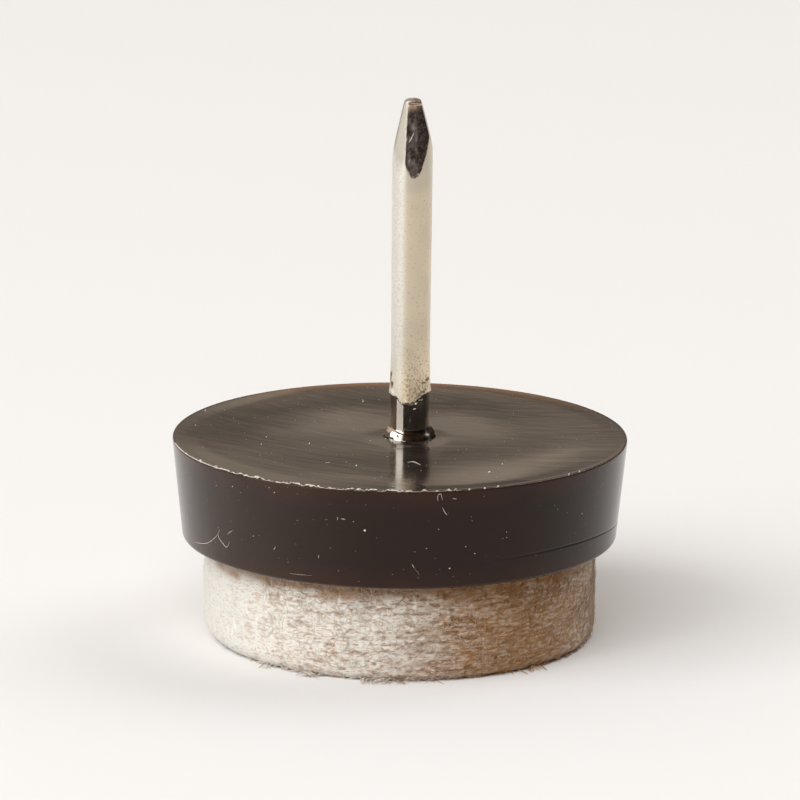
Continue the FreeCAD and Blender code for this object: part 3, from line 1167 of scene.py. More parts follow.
@dataclass
class MouldedDisc:
    """The disc: drafted wall, slightly dished top, felt recess, scraped rim and a scored wall."""

    columns: int = 480
    foot_rows: int = 8
    low_wall_rows: int = 14
    high_wall_rows: int = 40
    rim_rows: int = 8
    top_rows: int = 76
    draft_deg: float = 6.0
    rim_round: float = 0.12
    foot_round: float = 0.25
    recess_play: float = 0.1
    top_proud: float = 0.03
    sink_wave: float = 0.008
    # Behind the nail, near the back, in front of the nail, near the front and on the left.
    warps: tuple[Warp, ...] = (
        Warp({-8: 0.0, -6: 0.5, -3: 2.1, 2: 2.1, 5: 0.4},
             {-9: 0.0, -6: 0.9, -3: 2.6, 2: 3.2, 4: 1.9, 6.5: 0.0}, 1.6),
        Warp({-8: 4.6, -5.8: 5.9, -3: 7.2, 4: 7.0, 6: 4.0}, {-10: -0.6, -6: -1.1, 3: -1.1, 8: -0.2}, 1.8),
        Warp({-6: -4.9, 2: -5.1, 5: -3.3}, {-9: 0.0, -5: -0.6, 2: -0.8, 6: 0.0}, 1.6),
        Warp({-8: -8.7, -6: -9.7, 0: -9.5, 3.6: -8.5, 5.7: -7.2, 7.8: -4.6, 9.6: -2.6},
             {-9: 0.4, -4: 0.4, 0.2: -0.5, 1.0: -0.5, 3.6: 2.7, 4.5: 3.1, 6: 2.8, 8: 1.5, 10: 0.6}, 1.4),
        Warp({-11: 0.5, -7: 2.0}, {-11: -0.9, -8: -0.8, -5: 0.0}, 3.5),
    )
    nail_clear: float = 0.005
    score_depth: float = 0.035
    score_half_width: float = 0.045
    score_pixels: tuple[Pixel, ...] = ((617, 522), (591, 534), (573, 545), (532, 556), (461, 564))
    # Middle of each patch of the top that is painted paler as a painted reflection, and its half sizes in
    # millimetres and degrees.
    painted_reflection_spots: tuple[tuple[Pixel, float, float], ...] = (
        ((345, 415), 1.1, 26.0), ((464, 420), 0.9, 24.0), ((505, 473), 1.2, 20.0), ((560, 456), 1.3, 16.0),
        ((352, 478), 1.0, 16.0),
    )
    flash_pixels: tuple[Pixel, Pixel] = ((171.5, 441), (478, 488))
    flash_proud: float = 0.13
    # Degrees between two places along the flash, and how far it is drawn past its end for the last dots.
    flash_step: float = 0.16
    flash_tail: float = 45.0
    flash_sides: int = 5
    flash_nubs: tuple[Pixel, ...] = (
        (217, 467), (259, 477), (310, 485), (360, 489), (202, 461), (423, 489), (447, 489),
    )
    flash_dots: tuple[Pixel, ...] = ((500, 488), (562, 473), (574, 470.5), (470, 490), (486, 489), (455, 490))
    flash_lumps: Noise = Noise(160, 1.0, 31)
    flash_teeth: Noise = Noise(620, 1.0, 32)
    flash_curl: Noise = Noise(420, 1.0, 33)
    flash_sway: Noise = Noise(170, 1.0, 34)

    def __post_init__(self) -> None:
        """Takes the disc's place and size from the frame."""
        low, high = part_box("plastic_base")
        self.foot = low.z / MM
        self.top = high.z / MM
        felt_low, felt_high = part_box("felt_pad")
        self.recess_radius = (felt_high.x - felt_low.x) / 2 / MM + self.recess_play
        self.recess_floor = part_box("adhesive_film")[1].z / MM
        draft = math.radians(self.draft_deg)
        self.slope = math.tan(draft)
        drawn_in = self.rim_round * (1 / math.cos(draft) - self.slope - 1)
        self.top_radius = (high.x - low.x) / 2 / MM + drawn_in + self.rim_round * self.slope
        self.crown_radius = self.wall_radius(self.top - self.rim_round) - self.rim_round / math.cos(draft)

    def wall_radius(self, level: Array) -> Array:
        """Radius of the drafted wall at a height."""
        return self.top_radius - (self.top - level) * self.slope

    def top_level(self, radius: Array, azimuth: Array) -> Array:
        """Height of the top, which warped as it cooled but not at the rim or round the nail.

        Args:
            radius: Distance from the middle.
            azimuth: Degrees from the front.

        Returns:
            Heights above the floor.
        """
        x, y, _ = np.moveaxis(around(radius, azimuth, self.top), -1, 0)
        wave = np.sin(0.55 * x + 0.35 * y + 1.0) + np.sin(0.3 * x - 0.6 * y + 2.2)
        warp = self.sink_wave * wave + sum(band.height(x, y) for band in self.warps)
        free = smooth(1.4, 2.6, radius) * smooth(self.crown_radius, 10.6, radius)
        return self.top + self.top_proud + warp * free

    def profile(self, azimuth: Array, score: Array, depth: Array) -> tuple[Array, Array, Array]:
        """Rings of the disc, from the middle of the recess out, up the wall and in to the nail.

        Args:
            azimuth: Degrees from the front, one for each column.
            score: Height of the scored line at each column.
            depth: Depth of the scored line at each column.

        Returns:
            Radii, heights and the rings' middle along X, by ring and column.
        """
        draft = math.radians(self.draft_deg)
        foot_middle = self.foot + self.foot_round
        foot_centre = self.wall_radius(foot_middle) - self.foot_round / math.cos(draft)
        rim_middle = self.top - self.rim_round
        rows = [
            (0.4, self.recess_floor), (5.0, self.recess_floor), (self.recess_radius, self.recess_floor),
            (self.recess_radius, self.foot + 0.3), (self.recess_radius + 0.05, self.foot),
        ]
        for turn in np.linspace(-math.pi / 2, -draft, self.foot_rows):
            rows.append((
                foot_centre + self.foot_round * math.cos(turn),
                foot_middle + self.foot_round * math.sin(turn),
            ))
        radii = [np.full_like(azimuth, radius) for radius, _ in rows]
        heights = [np.full_like(azimuth, height) for _, height in rows]
        wall_low = heights[-1]
        wall_high = rim_middle - self.rim_round * math.sin(draft)
        for share in np.linspace(0, 1, self.low_wall_rows)[1:-1]:
            heights.append(wall_low + (score - self.score_half_width - wall_low) * share)
            radii.append(self.wall_radius(heights[-1]))
        for offset, cut in ((-1, 0.0), (-0.5, 0.5), (0, 1.0), (0.5, 0.5), (1, 0.0)):
            heights.append(score + offset * self.score_half_width)
            radii.append(self.wall_radius(heights[-1]) - depth * cut)
        rest = wall_high - score - self.score_half_width
        for share in np.linspace(0, 1, self.high_wall_rows)[1:]:
            heights.append(score + self.score_half_width + rest * share)
            radii.append(self.wall_radius(heights[-1]))
        for turn in np.linspace(-draft, math.pi / 2, self.rim_rows + 1)[1:]:
            radii.append(np.full_like(azimuth, self.crown_radius + self.rim_round * math.cos(turn)))
            height = rim_middle + self.rim_round * math.sin(turn) + self.top_proud
            heights.append(np.full_like(azimuth, height))
        self.crown_row = len(radii)
        nail = WireNail()
        hole = nail.collar_foot + self.nail_clear
        for radius in self.crown_radius - (self.crown_radius - hole) * np.linspace(0, 1, self.top_rows)[1:]:
            radii.append(np.full_like(azimuth, radius))
            heights.append(self.top_level(radii[-1], azimuth))
        sunk = self.top - nail.collar_set
        head_top = nail.foot + nail.head_thickness
        nail_hole = (
            (hole, sunk), (nail.neck_radius + self.nail_clear, sunk - 0.03),
            (nail.under_head_radius + self.nail_clear, head_top + self.nail_clear),
            (nail.head_radius + self.nail_clear, head_top + self.nail_clear),
            (nail.head_radius + self.nail_clear, nail.foot - self.nail_clear),
            (0.4, nail.foot - self.nail_clear),
        )
        for radius, height in nail_hole:
            radii.append(np.full_like(azimuth, radius))
            heights.append(np.full_like(azimuth, height))
        radii = np.array(radii)
        middle_x = np.zeros_like(radii)
        shift = smooth(6.0, hole, radii[self.crown_row:])
        middle_x[self.crown_row:] = nail.axis_x * shift
        middle_x[-len(nail_hole):] = nail.axis_x
        return radii, np.array(heights), middle_x

    def build_body(self, camera: PhotoCamera) -> bpy.types.Object:
        """Builds and dresses the moulding.

        Args:
            camera: The photograph's camera, which places the scored line.

        Returns:
            The piece.
        """
        azimuth = np.linspace(0, 2 * HALF_TURN_DEG, self.columns, endpoint=False)
        line = np.array([camera.on_wall(pixel, self) for pixel in self.score_pixels])
        line = line[np.argsort(line[:, 0])]
        turn = turn_from(azimuth, 0)
        bow = np.polyfit(line[:, 0], line[:, 1], 2)
        score = np.polyval(bow, np.clip(turn, line[0, 0], line[-1, 0]))
        depth = self.score_depth * smooth(line[0, 0] - 12, line[-2, 0], turn) * smooth(140, 90, turn)
        radii, heights, middle_x = self.profile(azimuth, score, depth)
        rings = around(radii, azimuth[None, :], heights, middle_x)
        top = np.zeros_like(radii)
        top[self.crown_row:] = 1.0
        # The rim mark is a painted glow: warm brown along the back rim, for light through the thin plastic.
        behind = smooth(62, 14, np.abs(turn_from(azimuth, 172)))[None, :]
        rim = np.zeros_like(radii)
        first = self.crown_row - self.rim_rows
        crown = radii[first:]
        rim[first:] = 0.85 * smooth(self.crown_radius - 1.5, self.crown_radius - 0.1, crown)
        rim[first:] += 0.12 * smooth(self.crown_radius - 3.5, self.crown_radius, crown)
        rim = rim * behind
        # The haze mark is painted light: the left of the wall is painted paler where the key light falls on
        # it, and patches of the top are painted paler as reflections.
        haze = (1 - top) * 0.32 * smooth(-3, -48, turn) * smooth(-165, -120, turn)
        for pixel, half_reach, half_turn in self.painted_reflection_spots:
            x, y, _ = camera.on_level(pixel, self.top)
            beside = bump_at(turn_from(azimuth, math.degrees(math.atan2(x, -y))), 0, half_turn)[None, :]
            haze = np.maximum(haze, top * beside * bump_at(radii, math.hypot(x, y), half_reach))
        finish = MouldedPolypropylene().material(self.foot, self.top)
        return make_piece(
            "moulded_disc", turned_skin(rings), finish, Slot.PLASTIC,
            {"top": top, "rim": rim, "haze": haze}, ("plastic_base",),
        )

    def build_flash(self, camera: PhotoCamera) -> bpy.types.Object:
        """Builds and dresses the scraped burr along the front of the rim.

        Args:
            camera: The photograph's camera, which places its ends and nubs.

        Returns:
            The piece.
        """
        def turn_at(pixel: Pixel) -> float:
            """Azimuth of the rim where a pixel shows it."""
            x, y, _ = camera.on_level(pixel, self.top)
            return math.degrees(math.atan2(x, -y))

        first, last = (turn_at(pixel) for pixel in self.flash_pixels)
        azimuth = np.arange(first, last + self.flash_tail, self.flash_step)
        level = np.zeros_like(azimuth)
        ragged = smooth(first + 20, first + 50, azimuth)
        thick = 0.03 + 0.014 * self.flash_lumps.at(azimuth, level) * ragged
        thick = thick + 0.024 * self.flash_teeth.at(azimuth, level) * (0.3 + 0.7 * ragged)
        thick = thick - 0.018 * smooth(1, 6, azimuth)
        thick = np.clip(thick, 0.008, None) * smooth(last, last - 13, azimuth)
        thick = thick * smooth(first, first + 3, azimuth)
        for pixel in self.flash_nubs:
            thick = thick + 0.07 * bump_at(azimuth, turn_at(pixel), 0.45)
        for pixel in self.flash_dots:
            thick = thick + 0.06 * bump_at(azimuth, turn_at(pixel), 0.22)
        thick = np.clip(thick, 0.002, 0.12)
        lift = 0.06 + 0.06 * self.flash_curl.at(azimuth, level)
        lift = lift + 0.05 * self.flash_sway.at(azimuth, level)
        lift = np.clip(lift, 0, None) * (1 - 0.5 * smooth(-4, 4, azimuth))
        rise = 0.6 * thick + lift * smooth(0.01, 0.03, thick) * ragged
        edge_radius = self.crown_radius + 0.75 * self.rim_round
        edge_level = self.top + self.top_proud - 0.3 * self.rim_round
        corners = []
        for turn in np.arange(self.flash_sides) * FULL_TURN / self.flash_sides:
            radius = edge_radius + 0.5 * rise + thick * math.cos(turn)
            height = np.minimum(edge_level + rise + thick * math.sin(turn), self.top + self.flash_proud)
            corners.append(around(np.minimum(radius, self.top_radius - 0.015), azimuth, height))
        rings = np.stack(corners, axis=1)
        return make_piece("rim_flash", turned_skin(rings[:, ::-1]), StressedFlash().material(), Slot.PLASTIC)

    def build(self, camera: PhotoCamera) -> None:
        """Builds the moulding and its flash."""
        self.build_body(camera)
        self.build_flash(camera)


@dataclass(frozen=True)
class NeedledWoolFelt:
    """Undyed wool felt, needled thick and punched into plugs.

    It is matt and fuzzy: cream fibres in flat layers, with tan hollows between the layers that are
    painted darker, partly for browner fibres and partly as painted shade, and brown under the disc
    that is partly glue and dirt and partly painted shade. It is painted tan towards its right, partly
    its own colour and partly painted shade, and its brightly lit left side is painted greyer as
    painted shade.
    """

    cream: str = "#E4E3DC"
    # Painted shade: a greyer cream laid on the brightly lit left side.
    matted_and_painted_shade: str = "#D8D8D2"
    # Partly the felt's own tan, partly painted shade on the side away from the key light.
    tan: str = "#9A6B34"
    # Partly the browner fibres deeper in the felt, partly painted shade in the hollows; the speckle takes it
    # too.
    fleck_and_pit_shade: str = "#A16C33"
    # Painted shade: darker still in the hollows on the tan right side.
    deep: str = "#5F401F"
    # Partly glue and dirt, partly painted shade under the disc's overhang.
    stain_and_shade: str = "#906A42"
    tuft: str = "#F6F3EA"
    layer_size: float = 0.5
    layer_flatness: float = 4.0
    # The speckle stands for bundles of fibres, as single ones are too fine to show.
    speckle_size: float = 0.26

    def material(self, name: str) -> bpy.types.Material:
        """Builds the felt's material.

        Args:
            name: The material's name.

        Returns:
            The material, which reads the marks pit, tan, stain, tuft, grain and matted.
        """
        material = blank_material(name)
        tree = material.node_tree
        place = add_node(tree, "TexCoord").outputs["Object"]
        marks = {
            mark: add_node(tree, "Attribute", attribute_name=mark).outputs["Fac"]
            for mark in ("pit_tone_and_shade", "tan", "stain_and_shade", "tuft", "grain", "matted_and_painted_shade")
        }
        layered = add_node(tree, "VectorMath", {
            0: place, 1: (1.0, 1.0, self.layer_flatness),
        }, operation="MULTIPLY").outputs[0]
        layers = add_node(tree, "TexNoise", {
            "Vector": layered, "Scale": per_size(self.layer_size), "Detail": 5.0, "Roughness": 0.65,
        }).outputs[0]
        speckle = add_node(tree, "TexNoise", {
            "Vector": layered, "Scale": per_size(self.speckle_size), "Detail": 3.0,
        }).outputs[0]
        layer_share = add_node(tree, "MapRange", {
            "Value": layers, "From Min": 0.38, "From Max": 0.62, "To Min": 0.4,
        }).outputs[0]
        speckled = add_node(tree, "MapRange", {
            "Value": speckle, "From Min": 0.52, "From Max": 0.66, "To Max": 0.74,
        }).outputs[0]
        warm, specks, deep = (
            add_node(tree, "Math", {0: one, 1: other}, operation="MULTIPLY").outputs[0]
            for one, other in (
                (layer_share, marks["tan"]), (speckled, marks["grain"]), (marks["pit_tone_and_shade"], marks["tan"]),
            )
        )
        # The hollows are painted darker, partly as painted shade, and so is the tan right side; the lit left
        # is painted greyer as painted shade.
        colour = linear(self.cream)
        for amount, layer in (
            (warm, self.tan), (marks["matted_and_painted_shade"], self.matted_and_painted_shade), (specks, self.fleck_and_pit_shade),
            (marks["pit_tone_and_shade"], self.fleck_and_pit_shade), (deep, self.deep), (marks["stain_and_shade"], self.stain_and_shade),
            (marks["tuft"], self.tuft),
        ):
            colour = add_node(tree, "Mix", {
                MIX_SHARE: amount, MIX_A: colour, MIX_B: linear(layer),
            }, data_type="RGBA").outputs[MIX_RESULT]
        height = add_node(tree, "Math", {0: speckle, 1: 0.5, 2: layers}, operation="MULTIPLY_ADD")
        bump = add_node(tree, "Bump", {
            "Strength": 0.25, "Distance": 0.05 * MM, "Height": height.outputs[0],
        })
        skin = add_node(tree, "BsdfPrincipled", {
            "Base Color": colour, "Roughness": 0.95, "Specular IOR Level": 0.1,
            "Sheen Weight": 0.08, "Sheen Roughness": 0.6, "Normal": bump.outputs[0],
        })
        add_node(tree, "OutputMaterial", {"Surface": skin.outputs[0]})
        return material


@dataclass(frozen=True)
class WoolFibre:
    """Single crimped wool fibres: slightly shiny, pale or tan by their place, the tan partly painted shade,
    and some brown, partly painted shade under the disc.
    """

    pale: str = "#EBE8E1"
    # Partly the fibres' own tan, partly painted shade on the right side.
    tan: str = "#A97B47"
    brown: str = "#9F6E3A"

    def material(self) -> bpy.types.Material:
        """Builds the fibres' material.

        Returns:
            The material, which reads the marks tan and shade.
        """
        material = blank_material("crimped_wool_fibre")
        tree = material.node_tree
        tan, shade = (
            add_node(tree, "Attribute", attribute_name=name).outputs["Fac"] for name in ("tan", "shade")
        )
        colour = linear(self.pale)
        for amount, layer in ((tan, self.tan), (shade, self.brown)):
            colour = add_node(tree, "Mix", {
                MIX_SHARE: amount, MIX_A: colour, MIX_B: linear(layer),
            }, data_type="RGBA").outputs[MIX_RESULT]
        skin = add_node(tree, "BsdfPrincipled", {
            "Base Color": colour, "Roughness": 0.7, "IOR": 1.55, "Specular IOR Level": 0.12,
        })
        add_node(tree, "OutputMaterial", {"Surface": skin.outputs[0]})
        return material


@dataclass
class FeltPad:
    """The felt plug, with its layered pitted side, loose surface fibres and frayed lower edge."""

    columns: int = 960
    side_rows: int = 82
    foot_rows: int = 12
    # Rounding of the lower edge, by azimuth.
    foot_rounds: dict[float, float] = field(default_factory=lambda: {
        -180: 0.7, -120: 0.9, -90: 1.15, -55: 0.9, 0: 0.55, 60: 0.65, 90: 0.75, 180: 0.7,
    })
    # How strong the grain is, by azimuth.
    grain: dict[float, float] = field(default_factory=lambda: {
        -180: 0.6, -90: 0.05, -62: 0.2, -48: 0.42, -20: 0.88, 0: 1.0, 14: 1.0, 28: 0.86, 45: 0.5, 60: 0.25,
        90: 0.12, 180: 0.6,
    })
    lump: float = 0.008
    weave: float = 0.016
    pit_depth: float = 0.06
    matted_depth: float = 0.05
    pinch: float = 0.07
    left_pinch: float = 0.16
    tuft_count: int = 60
    # Pale tufts that stand out at the front: azimuth, level, and half sizes in degrees and millimetres.
    front_tufts: tuple[tuple[float, float, float, float], ...] = (
        (4.9, 4.1, 0.45, 0.5), (4.6, 3.4, 0.8, 0.22), (4.0, 2.6, 0.6, 0.42), (14.4, 3.7, 0.7, 0.26),
        (1.8, 2.0, 0.8, 0.3),
    )
    lying_count: int = 5000
    lying_length: Span = (0.35, 1.5)
    lying_steep: float = 24.0
    lying_proud: Span = (-0.018, 0.032)
    lying_radius: Span = (0.008, 0.016)
    fuzz_count: int = 1500
    fuzz_length: Span = (0.4, 1.3)
    fuzz_steep: float = 60.0
    fuzz_proud: Span = (0.01, 0.14)
    fuzz_radius: Span = (0.008, 0.014)
    fray_count: int = 520
    fray_length: Span = (0.08, 0.24)
    fray_radius: Span = (0.016, 0.036)
    # Azimuths at which longer frayed fibres lie in clumps, and the share of all fibres that is in them.
    fray_clumps: tuple[float, ...] = (-43.0, -30.0, -27.0, -9.0, -5.0, 0.0, 10.0, 36.0, 43.0, 118.0, -150.0)
    clump_share: float = 0.18
    clump_length: Span = (0.3, 0.95)
    fibre_points: int = 7
    fibre_bend: float = 55.0
    loop_proud: float = 0.05
    loop_radius: float = 0.018
    # Pale loose loops at the front: azimuths and levels of their points.
    loops: tuple[tuple[tuple[float, float], ...], ...] = (
        ((20.5, 2.95), (21.1, 2.79), (20.2, 2.41), (18.3, 2.17), (17.5, 1.91), (18.0, 1.53), (19.6, 1.44)),
        ((25.9, 2.75), (25.4, 2.43), (25.6, 2.05), (25.9, 1.78), (26.6, 1.5), (26.4, 1.34), (25.3, 1.24)),
        ((9.0, 1.85), (9.9, 1.98), (10.7, 1.93), (11.0, 1.7), (10.7, 1.5), (10.0, 1.4), (9.2, 1.35)),
    )
    seed: int = 71
    wide_pits: Noise = Noise(110, 0.11, 41)
    narrow_pits: Noise = Noise(320, 0.075, 42)
    side_lumps: Noise = Noise(34, 1.1, 44)
    coarse_weave: Noise = Noise(120, 0.13, 45)
    fine_weave: Noise = Noise(420, 0.09, 46)
    tuft_fringe: Noise = Noise(300, 0.3, 47)
    stain_edge: Noise = Noise(70, 0.4, 48)
    fray_waves: Noise = Noise(90, 1.0, 49)
    fray_teeth: Noise = Noise(320, 1.0, 50)
    tuft_sway: Noise = Noise(60, 0.25, 51)
    tuft_grain: Noise = Noise(330, 0.16, 52)

    def __post_init__(self) -> None:
        """Takes the plug's place and size from the frame."""
        low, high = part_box("felt_pad")
        self.radius = (high.x - low.x) / 2 / MM
        self.height = high.z / MM
        self.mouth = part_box("plastic_base")[0].z / MM

    def pits(self, azimuth: Array, level: Array) -> Array:
        """How deep the hollows between the layers are, from 0 to 1."""
        wide = self.wide_pits.at(azimuth, level)
        narrow = self.narrow_pits.at(azimuth, level)
        return smooth(0.1, 0.7, 0.65 * wide + 0.6 * narrow)

    def swell(self, azimuth: Array, level: Array) -> Array:
        """How far the side stands out from a true cylinder.

        Args:
            azimuth: Degrees from the front.
            level: Heights of the same shape.

        Returns:
            Distances, negative inwards.
        """
        out = self.lump * self.side_lumps.at(azimuth, level)
        fine = self.coarse_weave.at(azimuth, level) + 0.5 * self.fine_weave.at(azimuth, level)
        relief = self.grain_at(azimuth) ** 3
        out = out + self.weave * fine * (0.08 + 0.92 * relief)
        out = out - self.pit_depth * self.pits(azimuth, level) * relief
        pinch = self.pinch + self.left_pinch * smooth(60, 20, np.abs(turn_from(azimuth, -95)))
        out = out - pinch * smooth(self.mouth - 2.2, self.mouth, level)
        return np.minimum(out, 0.08)

    def grain_at(self, azimuth: Array) -> Array:
        """How strong the grain is at an azimuth."""
        return read_off(self.grain, turn_from(azimuth, 0))

    def matted_and_painted_shade(self, azimuth: Array) -> Array:
        """How far the left side is rubbed smooth and its fibres are pressed in, from 0 to 1. The same share
        paints that brightly lit side greyer, as painted shade.
        """
        return smooth(0.6, 0.3, self.grain_at(azimuth)) * smooth(62, 50, np.abs(turn_from(azimuth, -85)))

    def stain_and_shade_at(self, azimuth: Array, level: Array) -> Array:
        """How far the brown under the disc reaches, partly glue and dirt and partly painted shade under its
        overhang, with a darker band at the front right; from 0 to 1.
        """
        around_front = 0.25 + 0.75 * smooth(85, 55, np.abs(turn_from(azimuth, -10)))
        under_disc = around_front * smooth(self.mouth - 1.15, self.mouth - 0.45, level)
        return np.maximum(under_disc, 0.5 * bump_at(turn_from(azimuth, 0), 36, 15))

    def tan_and_side_shade(self, azimuth: Array) -> Array:
        """How tan the felt is painted, from 0 on the left to 1 on the right, less again at the far right:
        partly its own colour, partly painted shade on the side away from the key light.
        """
        turn = turn_from(azimuth, 0)
        tanned = smooth(-0.18, 0.43, np.sin(np.radians(azimuth))) * (1 - 0.35 * bump_at(turn, 90, 22))
        return tanned + 0.08 * bump_at(turn, -14, 16)

    def foot_round(self, azimuth: Array) -> Array:
        """Rounding of the lower edge at an azimuth."""
        return read_off(self.foot_rounds, turn_from(azimuth, 0))

    def frayed_lift(self, azimuth: Array) -> Array:
        """How far the punched lower edge has crept up off the floor."""
        level = np.zeros_like(azimuth)
        ragged = self.fray_waves.at(azimuth, level) + 0.9 * self.fray_teeth.at(azimuth, level)
        return np.clip(0.02 + 0.04 * ragged, 0, None)

    def tufts(self, azimuth: Array, level: Array) -> Array:
        """White fibres that the needles dragged up through the layers, from 0 to 1."""
        drawn = np.random.default_rng(self.seed)
        total = np.zeros_like(azimuth)
        for _ in range(self.tuft_count):
            centre = drawn.uniform(-HALF_TURN_DEG, HALF_TURN_DEG)
            middle = drawn.uniform(0.8, 4.4)
            tall = drawn.uniform(0.2, 0.6)
            wide = drawn.uniform(0.35, 0.9)
            lean = drawn.uniform(-1.5, 1.5)
            beside = turn_from(azimuth, centre + lean * (level - middle))
            total = np.maximum(total, bump_at(beside, 0, wide) * bump_at(level, middle, tall))
        return smooth(0.35, 0.9, total + 0.35 * self.tuft_fringe.at(azimuth, level))

    def drawn_tufts(self, azimuth: Array, level: Array) -> Array:
        """The pale tufts at the front, from 0 to 1."""
        total = np.zeros_like(azimuth)
        for centre, middle, wide, tall in self.front_tufts:
            beside = turn_from(azimuth, centre) + 0.6 * self.tuft_sway.at(azimuth, level)
            total = np.maximum(total, bump_at(beside, 0, wide) * bump_at(level, middle, tall))
        return smooth(0.2, 0.95, total + 0.5 * self.tuft_grain.at(azimuth, level))

    def build_plug(self) -> bpy.types.Object:
        """Builds and dresses the plug.

        Returns:
            The piece.
        """
        azimuth = np.linspace(0, 2 * HALF_TURN_DEG, self.columns, endpoint=False)
        rounding = self.foot_round(azimuth)
        radii = [np.full_like(azimuth, 0.5), np.full_like(azimuth, 5.0), np.full_like(azimuth, 8.0)]
        heights = [np.zeros_like(azimuth) for _ in radii]
        for turn in np.linspace(-math.pi / 2, 0, self.foot_rows):
            radii.append(self.radius - rounding * (1 - math.cos(turn)))
            heights.append(rounding * (1 + math.sin(turn)) + self.frayed_lift(azimuth) * math.sin(turn) ** 2)
        for share in np.linspace(0, 1, self.side_rows)[1:]:
            radii.append(np.full_like(azimuth, self.radius))
            heights.append(rounding + (self.height - rounding) * share)
        for radius in (self.radius - 0.1, 6.0, 0.5):
            radii.append(np.full_like(azimuth, radius))
            heights.append(np.full_like(azimuth, self.height))
        radii = np.array(radii)
        heights = np.array(heights)
        turn = np.broadcast_to(azimuth, radii.shape)
        side = np.zeros_like(radii)
        side[3:-3] = smooth(0.05, 0.3, heights[3:-3])
        swell = self.swell(turn, heights) * side
        rings = around(radii + swell, turn, heights)
        warm = self.tan_and_side_shade(turn)
        # These marks paint shade as well as colour: the hollows darker, the right side tan, the band under
        # the disc brown, each partly the felt's own colour, and the lit left greyer.
        marks = {
            "pit_tone_and_shade": 0.72 * self.pits(turn, heights) * side * self.grain_at(turn),
            "tan": 0.08 + 0.92 * warm,
            "stain_and_shade": 0.8 * self.stain_and_shade_at(turn, heights + 0.3 * self.stain_edge.at(turn, heights)),
            "tuft": np.maximum(
                0.5 * self.tufts(turn, heights) * (1 - 0.75 * warm), 0.55 * self.drawn_tufts(turn, heights),
            ) * side,
            "grain": 0.3 + 0.7 * self.grain_at(turn),
            "matted_and_painted_shade": self.matted_and_painted_shade(turn),
        }
        finish = NeedledWoolFelt().material("needled_wool_felt")
        plug = make_piece("felt_plug", turned_skin(rings), finish, Slot.FELT, marks, ("felt_pad",))
        return plug

    def walk(
        self, drawn: np.random.Generator, count: int, reach: Span, steep: float,
    ) -> tuple[Array, Array]:
        """Paths of fibres that lie on the side.

        Args:
            drawn: Where the random values come from.
            count: How many fibres.
            reach: Shortest and longest length.
            steep: Spread of their slope from level, in degrees.

        Returns:
            Azimuths and levels, by fibre and place along it.
        """
        heading = np.radians(drawn.normal(0, steep, count))
        bend = np.radians(drawn.normal(0, self.fibre_bend, (count, self.fibre_points - 1)))
        step = drawn.uniform(*reach, count) / (self.fibre_points - 1)
        headings = heading[:, None] + np.cumsum(bend, axis=1) * 0.6
        begin = np.zeros((count, 1))
        ahead, upward = (
            np.concatenate([begin, np.cumsum(share * step[:, None], axis=1)], axis=1)
            for share in (np.cos(headings), np.sin(headings))
        )
        start = drawn.uniform(-HALF_TURN_DEG, HALF_TURN_DEG, count)
        base = drawn.uniform(0.25, self.mouth - 0.1, count)
        level = np.clip(base[:, None] + upward, 0.06, self.mouth - 0.02)
        return start[:, None] + np.degrees(ahead / self.radius), level

    def side_point(self, azimuth: Array, level: Array, proud: Array) -> Array:
        """Points on the felt's side, standing proud of it.

        Args:
            azimuth: Degrees from the front.
            level: Heights of the same shape.
            proud: Distances out of the surface.

        Returns:
            The points.
        """
        rounding = self.foot_round(azimuth)
        drop = np.clip(rounding - level, 0, rounding)
        drawn_in = rounding - np.sqrt(np.clip(rounding ** 2 - drop ** 2, 0, None))
        swell = self.swell(azimuth, level) * smooth(0.05, 0.3, level)
        return around(self.radius - drawn_in + swell + proud, azimuth, level)

    def build_fibres(self, name: str, paths: Array, radii: Array, shade: Array) -> bpy.types.Object:
        """Builds and dresses one group of fibres.

        Args:
            name: The piece's name.
            paths: Points by fibre, place along it and axis.
            radii: Half thickness of each fibre.
            shade: How brown each fibre is, from 0 to 1.

        Returns:
            The piece.
        """
        middle = paths[:, paths.shape[1] // 2]
        outward = middle * np.array([1, 1, 0])
        outward = outward / np.linalg.norm(outward, axis=1, keepdims=True) + np.array([0.02, 0.03, 0.05])
        points, faces = tube_skin(paths, radii, outward)
        points[:, 2] = np.maximum(points[:, 2], 0.0)
        azimuth = np.degrees(np.arctan2(middle[:, 0], -middle[:, 1]))
        per_fibre = len(points) // len(shade)
        calm = 0.6 * smooth(8, 50, azimuth) * smooth(150, 115, azimuth)
        spread = np.random.default_rng(len(shade)).uniform(0, 1, len(shade)) ** 2.2
        paleness = 1 - (0.95 - calm) * spread
        # Tan towards the right is partly the fibres' own colour, partly painted shade.
        marks = {
            "shade": np.repeat(shade, per_fibre),
            "tan": np.repeat(self.tan_and_side_shade(azimuth) * paleness, per_fibre),
        }
        return make_piece(name, (points, faces), WoolFibre().material(), Slot.FELT, marks)

    def shade_at(self, drawn: np.random.Generator, azimuth: Array, level: Array) -> Array:
        """How brown the fibres are: most of them hardly, more of them in the front and under the disc, where
        the brown is partly painted shade.

        Args:
            drawn: Where the random values come from.
            azimuth: Degrees from the front, for each fibre.
            level: Height above the floor, for each fibre.

        Returns:
            Shades from 0 to 1.
        """
        shade = drawn.beta(0.7, 2.2, len(azimuth)) * self.grain_at(azimuth)
        # The brown under the disc is partly painted shade.
        stained = drawn.uniform(0.2, 1.0, len(azimuth)) * self.stain_and_shade_at(azimuth, level)
        return np.clip(shade + stained, 0, 1)

